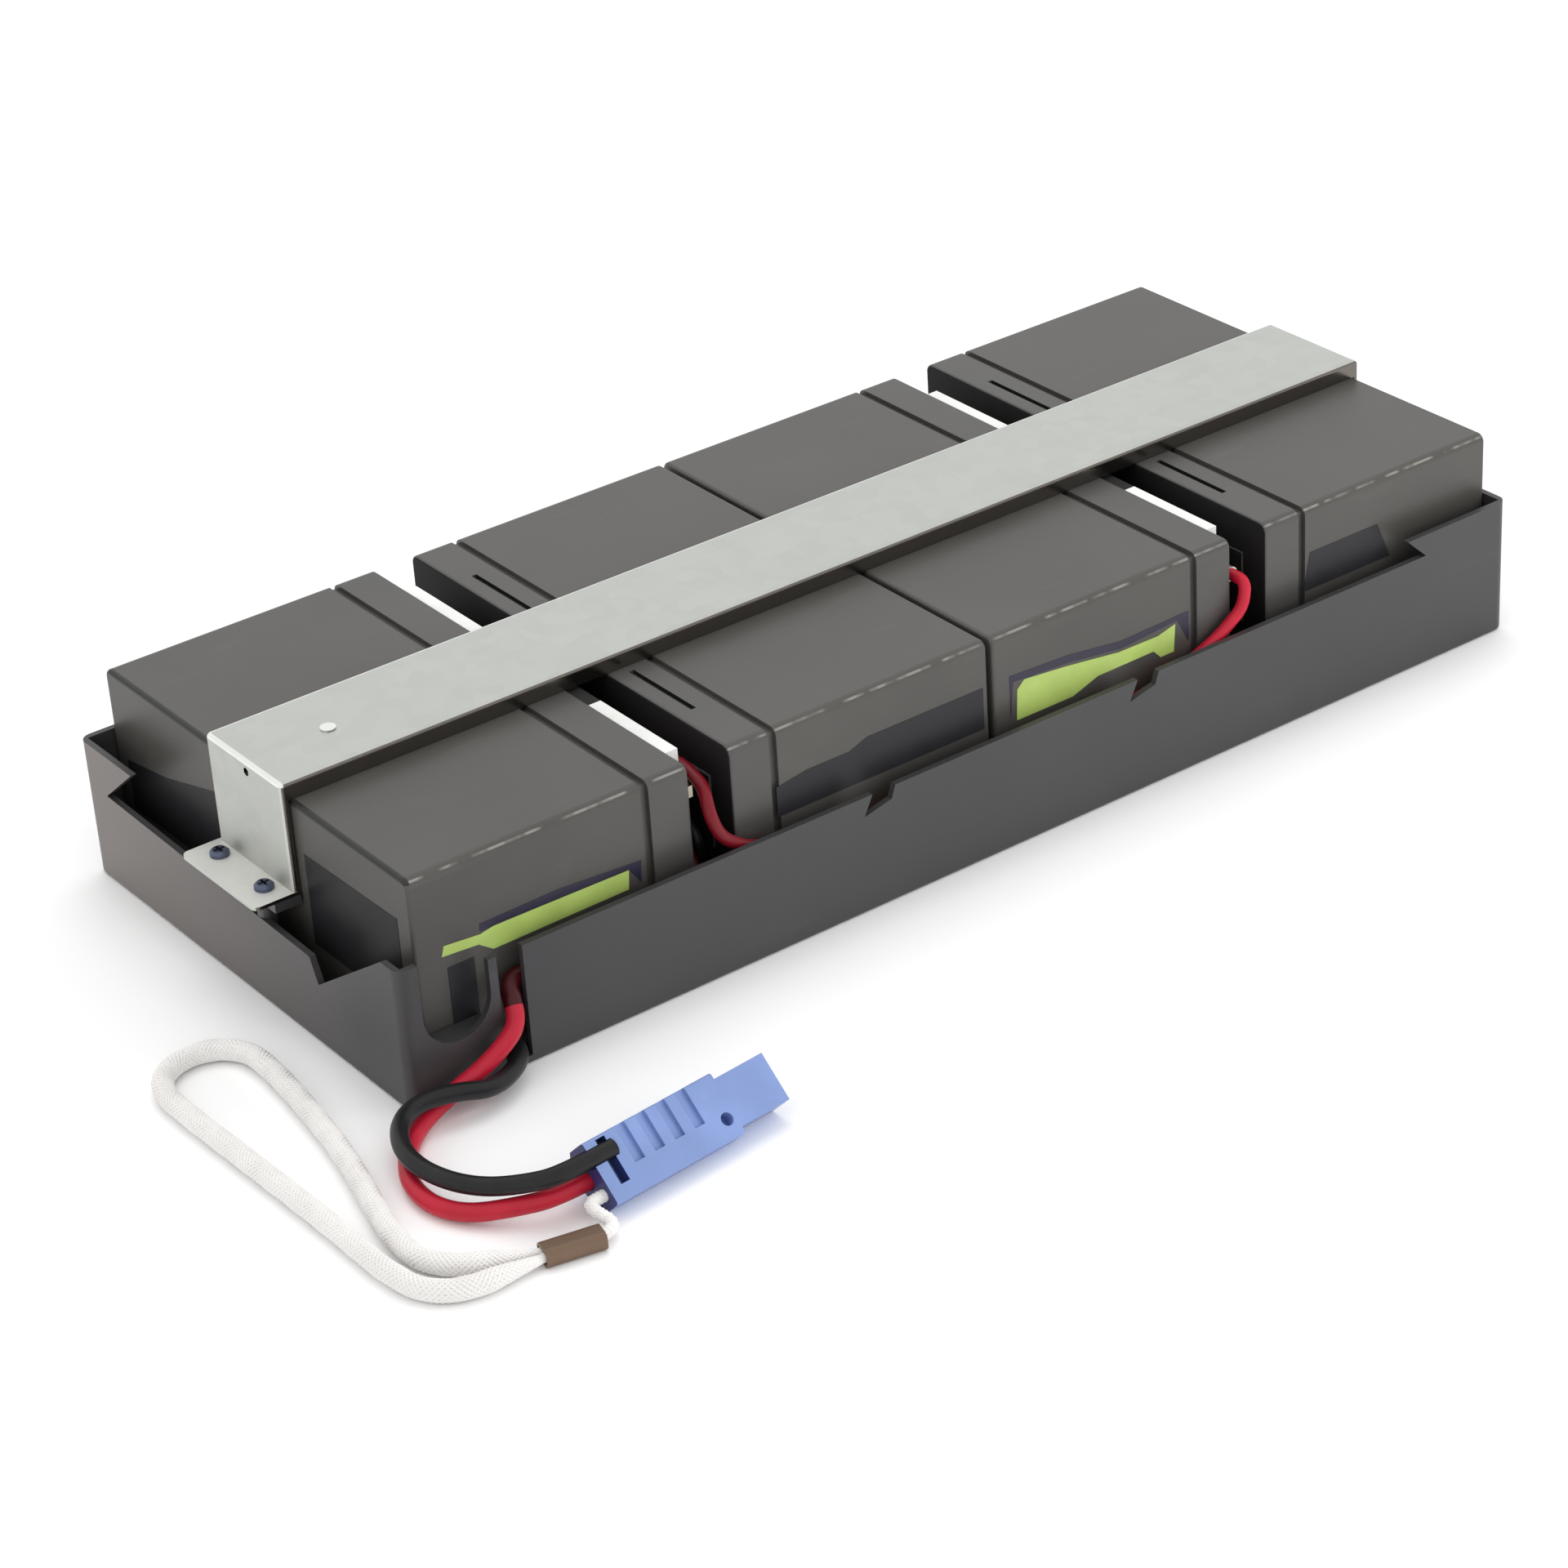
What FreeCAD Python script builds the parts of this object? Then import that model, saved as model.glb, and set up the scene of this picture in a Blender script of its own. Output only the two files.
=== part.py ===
import FreeCAD, Part
import math
import os
import Sketcher

Vector = FreeCAD.Vector

# Driving dimensions in millimetres.
# X runs from the cable end to the far end, Y from the front row to the back row, Z up from the tray's underside.
DIMENSIONS = {
    "tray_length": 455.0,
    "tray_width": 193.0,
    "tray_height": 50.0,
    "tray_corner": 4.0,
    "tray_base_edge": 1.6,
    "wall": 2.2,
    "base": 3.0,
    "near_clear": 11.25,
    "front_clear": 8.8,
    "shelf_height": 40.0,
    "shelf_depth": 8.4,
    "shelf_width": 46.0,
    "shelf_thick": 3.0,
    "end_rim_top": 62.3,
    "end_rim_left": 81.9,
    "end_rim_high": 34.3,
    "end_rim_low": 31.4,
    "end_notch_left": 43.1,
    "end_notch_tip": 46.8,
    "end_notch_floor": 22.9,
    "end_notch_right": 87.0,
    "front_rim": 42.0,
    "front_rim_end": 188.7,
    "raised_rim_start": 180.2,
    "pocket_centre": 18.9,
    "pocket_radius": 12.0,
    "pocket_arc_height": 31.0,
    "slot_left": 33.9,
    "slot_right": 43.2,
    "block_height": 102.0,
    "block_length": 90.0,
    "block_width": 70.0,
    "block_edge": 3.0,
    "block_end_edge": 1.2,
    "lid_depth": 15.0,
    "lid_face_edge": 1.0,
    "seam_width": 3.0,
    "seam_depth": 1.6,
    "lid_gap": 15.5,
    "base_gap": 2.0,
    "row_gap": 1.0,
    "terminal_spread": 31.0,
    "terminal_height": 54.0,
    "blade_width": 6.3,
    "blade_thick": 0.8,
    "blade_out": 6.3,
    "well_depth": 3.0,
    "channel_width": 45.0,
    "channel_rise": 6.5,
    "sheet_steel": 1.2,
    "plate_stand_off": 3.0,
    "foot_depth": 14.0,
    "bend": 1.8,
    "screw_spread": 13.5,
    "screw_setback": 3.2,
    "strip_length": 149.0,
    "strip_height": 8.0,
    "strip_thick": 5.5,
    "strip_below_top": 1.5,
    "sleeve_width": 8.4,
    "sleeve_thick": 4.0,
    "sleeve_reach": 6.8,
    "barrel_length": 5.0,
    "jumper_diameter": 4.2,
    "lead_diameter": 5.8,
    "cord_diameter": 4.2,
    "loop_diameter": 7.2,
    "plug_length": 68.0,
    "plug_width": 20.4,
    "plug_height": 13.0,
    "plug_seat_edge": 4.24,
    "plug_nose_length": 18.8,
    "plug_nose_width": 16.0,
    "plug_nose_inset": 2.4,
    "ferrule_length": 18.6,
    "ferrule_width": 7.8,
    "ferrule_height": 6.0,
}

doc = FreeCAD.newDocument("battery_cartridge")
sheet = doc.addObject("Spreadsheet::Sheet", "dims")
for row, (alias, value) in enumerate(DIMENSIONS.items(), start=1):
    sheet.set(f"A{row}", alias)
    sheet.set(f"B{row}", str(value))
    sheet.setAlias(f"B{row}", alias)
doc.recompute()

# Places that several pieces share, as expressions on the sheet
NEAR_FACE = "(-dims.tray_length / 2)"
FRONT_FACE = "(-dims.tray_width / 2)"
ROW_START = "(-dims.tray_length / 2 + dims.near_clear)"
ROW_END = f"({ROW_START} + 4 * dims.block_height + 2 * dims.lid_gap + dims.base_gap)"
BLOCK_TOP = "(dims.base + dims.block_width)"
CHANNEL_TOP = f"({BLOCK_TOP} + dims.channel_rise)"
PLATE_FACE = f"({ROW_START} - dims.plate_stand_off)"

ROWS = ("front", "back")
ROW_CENTRES = {
    "front": "(-dims.tray_width / 2 + dims.front_clear + dims.block_length / 2)",
    "back": "(-dims.tray_width / 2 + dims.front_clear + 1.5 * dims.block_length + dims.row_gap)",
}
# Blocks 1 and 3 stand lid towards +X, blocks 2 and 4 are turned over, lid towards -X
BLOCK_STARTS = {
    1: ROW_START,
    2: f"({ROW_START} + dims.block_height + dims.lid_gap)",
    3: f"({ROW_START} + 2 * dims.block_height + dims.lid_gap + dims.base_gap)",
    4: f"({ROW_START} + 3 * dims.block_height + 2 * dims.lid_gap + dims.base_gap)",
}


def size(alias):
    return float(sheet.get(alias))


# Sketch and feature helpers

def add_body(label):
    body = doc.addObject("PartDesign::Body", label)
    body.Label = label
    return body


def add_sketch(body, role, offset="0"):
    sketch = body.newObject("Sketcher::SketchObject", "Sketch")
    plane = next(item for item in body.Origin.OriginFeatures if item.Role == role)
    sketch.AttachmentSupport = [(plane, "")]
    sketch.MapMode = "FlatFace"
    sketch.setExpression("AttachmentOffset.Base.z", offset)
    return sketch


def set_constraint(sketch, constraint, expression):
    index = sketch.addConstraint(constraint)
    sketch.setExpression(f"Constraints[{index}]", expression)


def place_point(sketch, geometry, point, x, y):
    set_constraint(sketch, Sketcher.Constraint("DistanceX", -1, 1, geometry, point, 1.0), x)
    set_constraint(sketch, Sketcher.Constraint("DistanceY", -1, 1, geometry, point, 1.0), y)


def draw_polygon(sketch, corners):
    first = sketch.GeometryCount
    count = len(corners)
    ring = [Vector(math.cos(2 * math.pi * i / count), math.sin(2 * math.pi * i / count), 0) for i in range(count)]
    for i in range(count):
        sketch.addGeometry(Part.LineSegment(ring[i], ring[(i + 1) % count]), False)
    for i in range(count):
        sketch.addConstraint(Sketcher.Constraint("Coincident", first + i, 2, first + (i + 1) % count, 1))
    for i, (x, y) in enumerate(corners):
        place_point(sketch, first + i, 1, x, y)


def draw_rectangle(sketch, left, low, right, high):
    draw_polygon(sketch, [(left, low), (right, low), (right, high), (left, high)])


def draw_circle(sketch, x, y, radius):
    index = sketch.addGeometry(Part.Circle(Vector(0, 0, 0), Vector(0, 0, 1), 1.0), False)
    place_point(sketch, index, 3, x, y)
    set_constraint(sketch, Sketcher.Constraint("Radius", index, 1.0), radius)


def draw_round_bottom_slot(sketch, centre, arc_height, radius, top):
    unit = Part.Circle(Vector(0, 0, 0), Vector(0, 0, 1), 1.0)
    arc = sketch.addGeometry(Part.ArcOfCircle(unit, math.pi, 2 * math.pi), False)
    left = sketch.addGeometry(Part.LineSegment(Vector(-1, 0, 0), Vector(-1, 2, 0)), False)
    lid = sketch.addGeometry(Part.LineSegment(Vector(-1, 2, 0), Vector(1, 2, 0)), False)
    right = sketch.addGeometry(Part.LineSegment(Vector(1, 2, 0), Vector(1, 0, 0)), False)
    for one, end, other, start in ((arc, 1, left, 1), (left, 2, lid, 1), (lid, 2, right, 1), (right, 2, arc, 2)):
        sketch.addConstraint(Sketcher.Constraint("Coincident", one, end, other, start))
    for line in (left, right):
        sketch.addConstraint(Sketcher.Constraint("Vertical", line))
    sketch.addConstraint(Sketcher.Constraint("Horizontal", lid))
    for end in (1, 2):
        sketch.addConstraint(Sketcher.Constraint("Horizontal", arc, end, arc, 3))
    place_point(sketch, arc, 3, centre, arc_height)
    set_constraint(sketch, Sketcher.Constraint("Radius", arc, 1.0), radius)
    set_constraint(sketch, Sketcher.Constraint("DistanceY", -1, 1, left, 2, 1.0), top)


def add_pad(body, sketch, length, side="One side", reverse=False):
    pad = body.newObject("PartDesign::Pad", "Pad")
    pad.Profile = sketch
    pad.SideType = side
    pad.Reversed = reverse
    pad.setExpression("Length", length)
    return pad


def add_pocket(body, sketch, length, side="One side", reverse=False):
    pocket = body.newObject("PartDesign::Pocket", "Pocket")
    pocket.Profile = sketch
    pocket.SideType = side
    pocket.Reversed = reverse
    pocket.setExpression("Length", length)
    return pocket


def add_fillet(body, feature, radius, chosen):
    doc.recompute()
    names = [f"Edge{i}" for i, edge in enumerate(feature.Shape.Edges, start=1) if chosen(edge)]
    fillet = body.newObject("PartDesign::Fillet", "Fillet")
    fillet.Base = (feature, names)
    fillet.setExpression("Radius", radius)
    return fillet


def runs_along(edge, axis):
    if edge.Degenerated or not isinstance(edge.Curve, Part.Line):
        return False
    return abs(edge.Curve.Direction.dot(axis)) > 0.999


def lies_at(edge, axis, value):
    return all(abs(vertex.Point.dot(axis) - value) < 0.01 for vertex in edge.Vertexes)


def bind_place(item, x, y, z):
    item.setExpression("Placement.Base.x", x)
    item.setExpression("Placement.Base.y", y)
    item.setExpression("Placement.Base.z", z)


def add_box(label, length, width, height, x, y, z):
    box = doc.addObject("Part::Box", label)
    box.setExpression("Length", length)
    box.setExpression("Width", width)
    box.setExpression("Height", height)
    bind_place(box, x, y, z)
    return box


def add_group(label, members):
    group = doc.addObject("Part::Compound", label)
    group.Label = label
    group.Links = members
    return group


X_AXIS = Vector(1, 0, 0)
Y_AXIS = Vector(0, 1, 0)
Z_AXIS = Vector(0, 0, 1)


# Tray: one moulding with an open top

def make_tray():
    body = add_body("tray")
    outline = add_sketch(body, "XY_Plane")
    draw_rectangle(outline, NEAR_FACE, FRONT_FACE, "dims.tray_length / 2", "dims.tray_width / 2")
    block = add_pad(body, outline, "dims.tray_height")
    corners = add_fillet(body, block, "dims.tray_corner", lambda edge: runs_along(edge, Z_AXIS))
    rounded = add_fillet(body, corners, "dims.tray_base_edge", lambda edge: lies_at(edge, Z_AXIS, 0))

    hollow = add_sketch(body, "XY_Plane", "dims.tray_height")
    draw_rectangle(hollow, f"{NEAR_FACE} + dims.wall", f"{FRONT_FACE} + dims.wall",
                   "dims.tray_length / 2 - dims.wall", "dims.tray_width / 2 - dims.wall")
    add_pocket(body, hollow, "dims.tray_height - dims.base")

    # lowered near end wall, with a deeper notch that slopes up to the front corner
    above = "dims.tray_height + 5"
    end_rim = add_sketch(body, "YZ_Plane", f"{NEAR_FACE} + dims.wall / 2")
    draw_polygon(end_rim, [
        ("dims.end_rim_top", above),
        ("dims.end_rim_top", "dims.tray_height"),
        ("dims.end_rim_left", "dims.end_rim_high"),
        ("-dims.end_notch_left", "dims.end_rim_low"),
        ("-dims.end_notch_tip", "dims.end_notch_floor"),
        ("-dims.end_notch_right", "dims.tray_height"),
        ("-dims.end_notch_right", above),
    ])
    add_pocket(body, end_rim, "dims.wall + 1", side="Symmetric")

    # cable exit at the near front corner: a round-bottomed pocket and a slot for the leads
    mid_front = "dims.tray_width / 2 - dims.wall / 2"
    pocket = add_sketch(body, "XZ_Plane", mid_front)
    draw_round_bottom_slot(pocket, f"{NEAR_FACE} + dims.pocket_centre", "dims.pocket_arc_height",
                           "dims.pocket_radius", above)
    add_pocket(body, pocket, "dims.wall + 1", side="Symmetric")
    slot = add_sketch(body, "XZ_Plane", mid_front)
    draw_rectangle(slot, f"{NEAR_FACE} + dims.slot_left", "dims.base", f"{NEAR_FACE} + dims.slot_right", above)
    add_pocket(body, slot, "dims.wall + 1", side="Symmetric")

    # ledge behind the pocket, lowered rim of both long walls up to the raised far corners, slanted rim notches
    ledge = add_sketch(body, "XY_Plane", "dims.pocket_arc_height - dims.pocket_radius - 2")
    draw_rectangle(ledge, f"{NEAR_FACE} + dims.pocket_centre - dims.pocket_radius",
                   f"{FRONT_FACE} + dims.wall / 2", f"{NEAR_FACE} + dims.pocket_centre + dims.pocket_radius",
                   f"{FRONT_FACE} + dims.front_clear - 0.7")
    add_pad(body, ledge, "2.5")
    rim = add_sketch(body, "XZ_Plane")
    draw_polygon(rim, [
        (f"{NEAR_FACE} + dims.pocket_centre", above),
        (f"{NEAR_FACE} + dims.pocket_centre", "dims.front_rim"),
        ("dims.front_rim_end", "dims.front_rim"),
        ("dims.raised_rim_start", "dims.tray_height"),
        ("dims.raised_rim_start", above),
    ])
    add_pocket(body, rim, "dims.tray_width + 10", side="Symmetric")
    notches = add_sketch(body, "XZ_Plane", mid_front)
    for place in ("-46", "64"):
        draw_polygon(notches, [(f"{place} - 5", "dims.front_rim + 1"), (f"{place} - 9", "dims.front_rim - 7"),
                               (f"{place} + 2", "dims.front_rim - 4.5"), (f"{place} + 4", "dims.front_rim + 1")])
    add_pocket(body, notches, "dims.wall + 1", side="Symmetric")

    # shelf under the channel's foot, on its two screw posts
    inner_end = f"{NEAR_FACE} + dims.wall / 2"
    posts = add_sketch(body, "XY_Plane", "dims.base / 2")
    for sign in ("-", ""):
        draw_circle(posts, f"{NEAR_FACE} + dims.screw_setback", f"{sign}dims.screw_spread", "3.1")
    add_pad(body, posts, "dims.shelf_height - dims.shelf_thick - dims.base / 2 + 1")
    shelf = add_sketch(body, "XY_Plane", "dims.shelf_height - dims.shelf_thick")
    draw_rectangle(shelf, inner_end, "-dims.shelf_width / 2",
                   f"{NEAR_FACE} + dims.wall + dims.shelf_depth", "dims.shelf_width / 2")
    add_pad(body, shelf, "dims.shelf_thick")

    pilots = add_sketch(body, "XY_Plane", "dims.shelf_height")
    for sign in ("-", ""):
        draw_circle(pilots, f"{NEAR_FACE} + dims.screw_setback", f"{sign}dims.screw_spread", "1.8")
    body.Tip = add_pocket(body, pilots, "14")
    return body


# Sealed blocks: case, lid, blade terminals

def place_block(item, row, number):
    turned = number % 2 == 0
    if turned:
        item.Placement = FreeCAD.Placement(Vector(0, 0, 0), FreeCAD.Rotation(Y_AXIS, 180))
        bind_place(item, f"{BLOCK_STARTS[number]} + dims.block_height", ROW_CENTRES[row], BLOCK_TOP)
    else:
        bind_place(item, BLOCK_STARTS[number], ROW_CENTRES[row], "dims.base")


def make_case(row, number):
    body = add_body(f"battery_case_{row}_{number}")
    depth = "dims.block_height - dims.lid_depth - dims.seam_width"
    outline = add_sketch(body, "YZ_Plane")
    draw_rectangle(outline, "-dims.block_length / 2", "0", "dims.block_length / 2", "dims.block_width")
    shell = add_pad(body, outline, depth)
    sides = add_fillet(body, shell, "dims.block_edge", lambda edge: runs_along(edge, X_AXIS))
    add_fillet(body, sides, "dims.block_end_edge", lambda edge: lies_at(edge, X_AXIS, 0))
    neck = add_sketch(body, "YZ_Plane", f"{depth} - 1")
    draw_rectangle(neck, "-dims.block_length / 2 + dims.seam_depth", "dims.seam_depth",
                   "dims.block_length / 2 - dims.seam_depth", "dims.block_width - dims.seam_depth")
    body.Tip = add_pad(body, neck, "dims.seam_width + 1")
    place_block(body, row, number)
    return body


def make_lid(row, number):
    body = add_body(f"battery_lid_{row}_{number}")
    outline = add_sketch(body, "YZ_Plane", "dims.block_height - dims.lid_depth")
    draw_rectangle(outline, "-dims.block_length / 2", "0", "dims.block_length / 2", "dims.block_width")
    cap = add_pad(body, outline, "dims.lid_depth")
    sides = add_fillet(body, cap, "dims.block_edge", lambda edge: runs_along(edge, X_AXIS))
    add_fillet(body, sides, "dims.lid_face_edge", lambda edge: lies_at(edge, X_AXIS, size("block_height")))

    # sunk wells round the terminals, the raised vent cover and the lifting slot in one side
    wells = add_sketch(body, "YZ_Plane", "dims.block_height")
    for sign in ("-", ""):
        centre = f"{sign}dims.terminal_spread"
        draw_rectangle(wells, f"{centre} - 6", "dims.terminal_height - 4.5",
                       f"{centre} + 6", "dims.terminal_height + 4.5")
    add_pocket(body, wells, "dims.well_depth")
    cover = add_sketch(body, "YZ_Plane", "dims.block_height - 1")
    draw_rectangle(cover, "-34", "14", "34", "40")
    add_pad(body, cover, "1.8")
    slot = add_sketch(body, "XY_Plane")
    draw_rectangle(slot, "dims.block_height - 8", "-17", "dims.block_height - 6", "17")
    body.Tip = add_pocket(body, slot, "1.5", reverse=True)
    place_block(body, row, number)
    return body


def make_terminals(row, number):
    label = f"terminals_{row}_{number}"
    blades = []
    for side, sign in (("a", "-"), ("b", "")):
        blades.append(add_box(f"{label}_{side}", "dims.well_depth + dims.blade_out", "dims.blade_width",
                              "dims.blade_thick", "dims.block_height - dims.well_depth",
                              f"{sign}dims.terminal_spread - dims.blade_width / 2",
                              "dims.terminal_height - dims.blade_thick / 2"))
    group = add_group(label, blades)
    place_block(group, row, number)
    return group


# Push-on receptacles: a sleeve over each blade and a crimp barrel in the wire's direction

BARREL_DIRECTIONS = {
    ("front", 1): ("-z", "-z"),
    ("front", 2): ("+z", "+z"),
    ("front", 3): ("-y", "-z"),
    ("front", 4): ("+z", "+z"),
    ("back", 1): ("-z", "-z"),
    ("back", 2): ("+z", "+z"),
    ("back", 3): ("-z", "-y"),
    ("back", 4): ("+z", "+z"),
}
LEAD_TERMINALS = {("front", 1, 0), ("back", 1, 1)}
BARREL_SETBACK = 4.5
SLEEVE_LIFT = 0.8


def lid_face(number):
    if number % 2 == 0:
        return BLOCK_STARTS[number]
    return f"({BLOCK_STARTS[number]} + dims.block_height)"


def terminal_place(row, number, index):
    sign = -1 if number % 2 == 0 else 1
    start = {1: 0, 2: 1, 3: 2, 4: 3}[number] * size("block_height")
    start += {1: 0, 2: 1, 3: 1, 4: 2}[number] * size("lid_gap") + (size("base_gap") if number > 2 else 0)
    face = -size("tray_length") / 2 + size("near_clear") + start + (size("block_height") if sign > 0 else 0)
    centre = -size("tray_width") / 2 + size("front_clear") + size("block_length") / 2
    centre += (size("block_length") + size("row_gap")) if row == "back" else 0
    high = size("base") + size("terminal_height")
    low = size("base") + size("block_width") - size("terminal_height")
    return Vector(face, centre + (-1, 1)[index] * size("terminal_spread"), high if sign > 0 else low), sign


def barrel_end(row, number, index):
    point, sign = terminal_place(row, number, index)
    reach = {"y": size("sleeve_width") / 2, "z": size("sleeve_thick") / 2}
    way = BARREL_DIRECTIONS[row, number][index]
    step = (1 if way[0] == "+" else -1) * (reach[way[1]] + size("barrel_length"))
    return point + Vector(sign * BARREL_SETBACK, 0, 0) + (Y_AXIS if way[1] == "y" else Z_AXIS) * step


def make_receptacle(label, row, number, index):
    point, sign = terminal_place(row, number, index)
    near = SLEEVE_LIFT if sign > 0 else -SLEEVE_LIFT - size("sleeve_reach")
    sleeve = add_box(f"{label}_sleeve", "dims.sleeve_reach", "dims.sleeve_width", "dims.sleeve_thick",
                     f"{point.x + near}", f"{point.y} - dims.sleeve_width / 2", f"{point.z} - dims.sleeve_thick / 2")
    fit = 0.1
    opening = add_box(f"{label}_opening", "dims.blade_out - 0.6", f"dims.blade_width + {2 * fit}",
                      f"dims.blade_thick + {2 * fit}",
                      f"{point.x + (SLEEVE_LIFT if sign > 0 else -size('blade_out') - 0.2)}",
                      f"{point.y} - dims.blade_width / 2 - {fit}", f"{point.z} - dims.blade_thick / 2 - {fit}")
    barrel = doc.addObject("Part::Cylinder", f"{label}_barrel")
    thick = "dims.lead_diameter" if (row, number, index) in LEAD_TERMINALS else "dims.jumper_diameter"
    barrel.setExpression("Radius", f"{thick} / 2 + 0.5")
    barrel.setExpression("Height", "dims.barrel_length + 1")
    end = barrel_end(row, number, index)
    way = BARREL_DIRECTIONS[row, number][index]
    inward = (-1 if way[0] == "+" else 1) * (Y_AXIS if way[1] == "y" else Z_AXIS)
    barrel.Placement = FreeCAD.Placement(end, FreeCAD.Rotation(Z_AXIS, inward))
    body = doc.addObject("Part::Fuse", f"{label}_body")
    body.Base = sleeve
    body.Tool = barrel
    cut = doc.addObject("Part::Cut", label)
    cut.Base = body
    cut.Tool = opening
    return cut


def make_receptacles(row, number):
    label = f"receptacles_{row}_{number}"
    return add_group(label, [make_receptacle(f"{label}_{index}", row, number, index) for index in (0, 1)])


# White insulating strips on the lids of blocks 1 and 3, across both rows under the channel

def make_strip(label, number):
    return add_box(label, "dims.strip_thick", "dims.strip_length", "dims.strip_height", lid_face(number),
                   "-dims.strip_length / 2", f"{BLOCK_TOP} - dims.strip_below_top - dims.strip_height")


# Hold-down channel: one strip of sheet steel, folded

def make_channel():
    body = add_body("hold_down_channel")
    foot_end = f"{PLATE_FACE} - dims.foot_depth"
    tab_face = f"{ROW_END} + 0.3 + dims.sheet_steel"
    strip = add_sketch(body, "XZ_Plane")
    draw_polygon(strip, [
        (foot_end, "dims.shelf_height"),
        (f"{PLATE_FACE} + dims.sheet_steel", "dims.shelf_height"),
        (f"{PLATE_FACE} + dims.sheet_steel", f"{CHANNEL_TOP} - dims.sheet_steel"),
        (f"{ROW_END} + 0.3", f"{CHANNEL_TOP} - dims.sheet_steel"),
        (f"{ROW_END} + 0.3", "dims.tray_height"),
        (f"-({foot_end})", "dims.tray_height"),
        (f"-({foot_end})", "dims.tray_height + dims.sheet_steel"),
        (tab_face, "dims.tray_height + dims.sheet_steel"),
        (tab_face, CHANNEL_TOP),
        (PLATE_FACE, CHANNEL_TOP),
        (PLATE_FACE, "dims.shelf_height + dims.sheet_steel"),
        (foot_end, "dims.shelf_height + dims.sheet_steel"),
    ])
    add_pad(body, strip, "dims.channel_width", side="Symmetric")
    for offset, reverse in (("dims.channel_width / 2", True), ("-dims.channel_width / 2", False)):
        edge = add_sketch(body, "XZ_Plane", offset)
        draw_polygon(edge, [
            (PLATE_FACE, "dims.shelf_height"),
            (f"{ROW_START} - 0.4", "dims.shelf_height"),
            (f"{ROW_START} - 0.4", BLOCK_TOP),
            (tab_face, BLOCK_TOP),
            (tab_face, CHANNEL_TOP),
            (PLATE_FACE, CHANNEL_TOP),
        ])
        folded = add_pad(body, edge, "dims.sheet_steel", reverse=reverse)
    top = size("base") + size("block_width") + size("channel_rise")
    half = size("channel_width") / 2
    face = -size("tray_length") / 2 + size("near_clear") - size("plate_stand_off")

    def on_outer_bend(edge):
        if runs_along(edge, X_AXIS):
            return lies_at(edge, Z_AXIS, top)
        if runs_along(edge, Z_AXIS):
            return lies_at(edge, X_AXIS, face) and any(lies_at(edge, Y_AXIS, y) for y in (-half, half))
        return runs_along(edge, Y_AXIS) and lies_at(edge, Z_AXIS, top)

    bends = add_fillet(body, folded, "dims.bend", on_outer_bend)
    add_fillet(body, bends, "2.5", lambda edge: runs_along(edge, Z_AXIS)
               and any(lies_at(edge, X_AXIS, side * (size("foot_depth") - face)) for side in (1, -1)))
    holes = add_sketch(body, "XY_Plane", "dims.shelf_height + 5")
    for sign in ("-", ""):
        draw_circle(holes, f"{NEAR_FACE} + dims.screw_setback", f"{sign}dims.screw_spread", "2.1")
    add_pocket(body, holes, "8")
    relief = add_sketch(body, "YZ_Plane", f"{PLATE_FACE} + 3")
    draw_circle(relief, "-2", f"{CHANNEL_TOP} - 4", "1.4")
    add_pocket(body, relief, "5")
    dimple = add_sketch(body, "XY_Plane", f"{CHANNEL_TOP} - 0.4")
    draw_circle(dimple, f"{ROW_START} + 27", "-2", "2.6")
    body.Tip = add_pad(body, dimple, "0.9")
    return body


def make_screws():
    screws = []
    for side, sign in (("a", "-"), ("b", "")):
        body = add_body(f"channel_screw_{side}")
        profile = add_sketch(body, "XZ_Plane")
        draw_polygon(profile, [("0", "-11"), ("1.7", "-11"), ("1.7", "0"), ("3.2", "0"),
                               ("3.2", "1.2"), ("2.3", "2.1"), ("0", "2.1")])
        turned = body.newObject("PartDesign::Revolution", "Revolution")
        turned.Profile = profile
        turned.ReferenceAxis = (profile, ["V_Axis"])
        turned.Angle = 360
        recess = add_sketch(body, "XY_Plane", "2.1")
        arm = "1.9"
        slim = "0.45"
        draw_polygon(recess, [(f"-{arm}", f"-{slim}"), (f"-{slim}", f"-{slim}"), (f"-{slim}", f"-{arm}"),
                              (slim, f"-{arm}"), (slim, f"-{slim}"), (arm, f"-{slim}"), (arm, slim),
                              (slim, slim), (slim, arm), (f"-{slim}", arm), (f"-{slim}", slim),
                              (f"-{arm}", slim)])
        body.Tip = add_pocket(body, recess, "1.2")
        bind_place(body, f"{NEAR_FACE} + dims.screw_setback", f"{sign}dims.screw_spread",
                   "dims.shelf_height + dims.sheet_steel")
        screws.append(body)
    return add_group("channel_screws", screws)


# Round cords: straight runs joined by the largest tangent arcs that the runs allow

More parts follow.
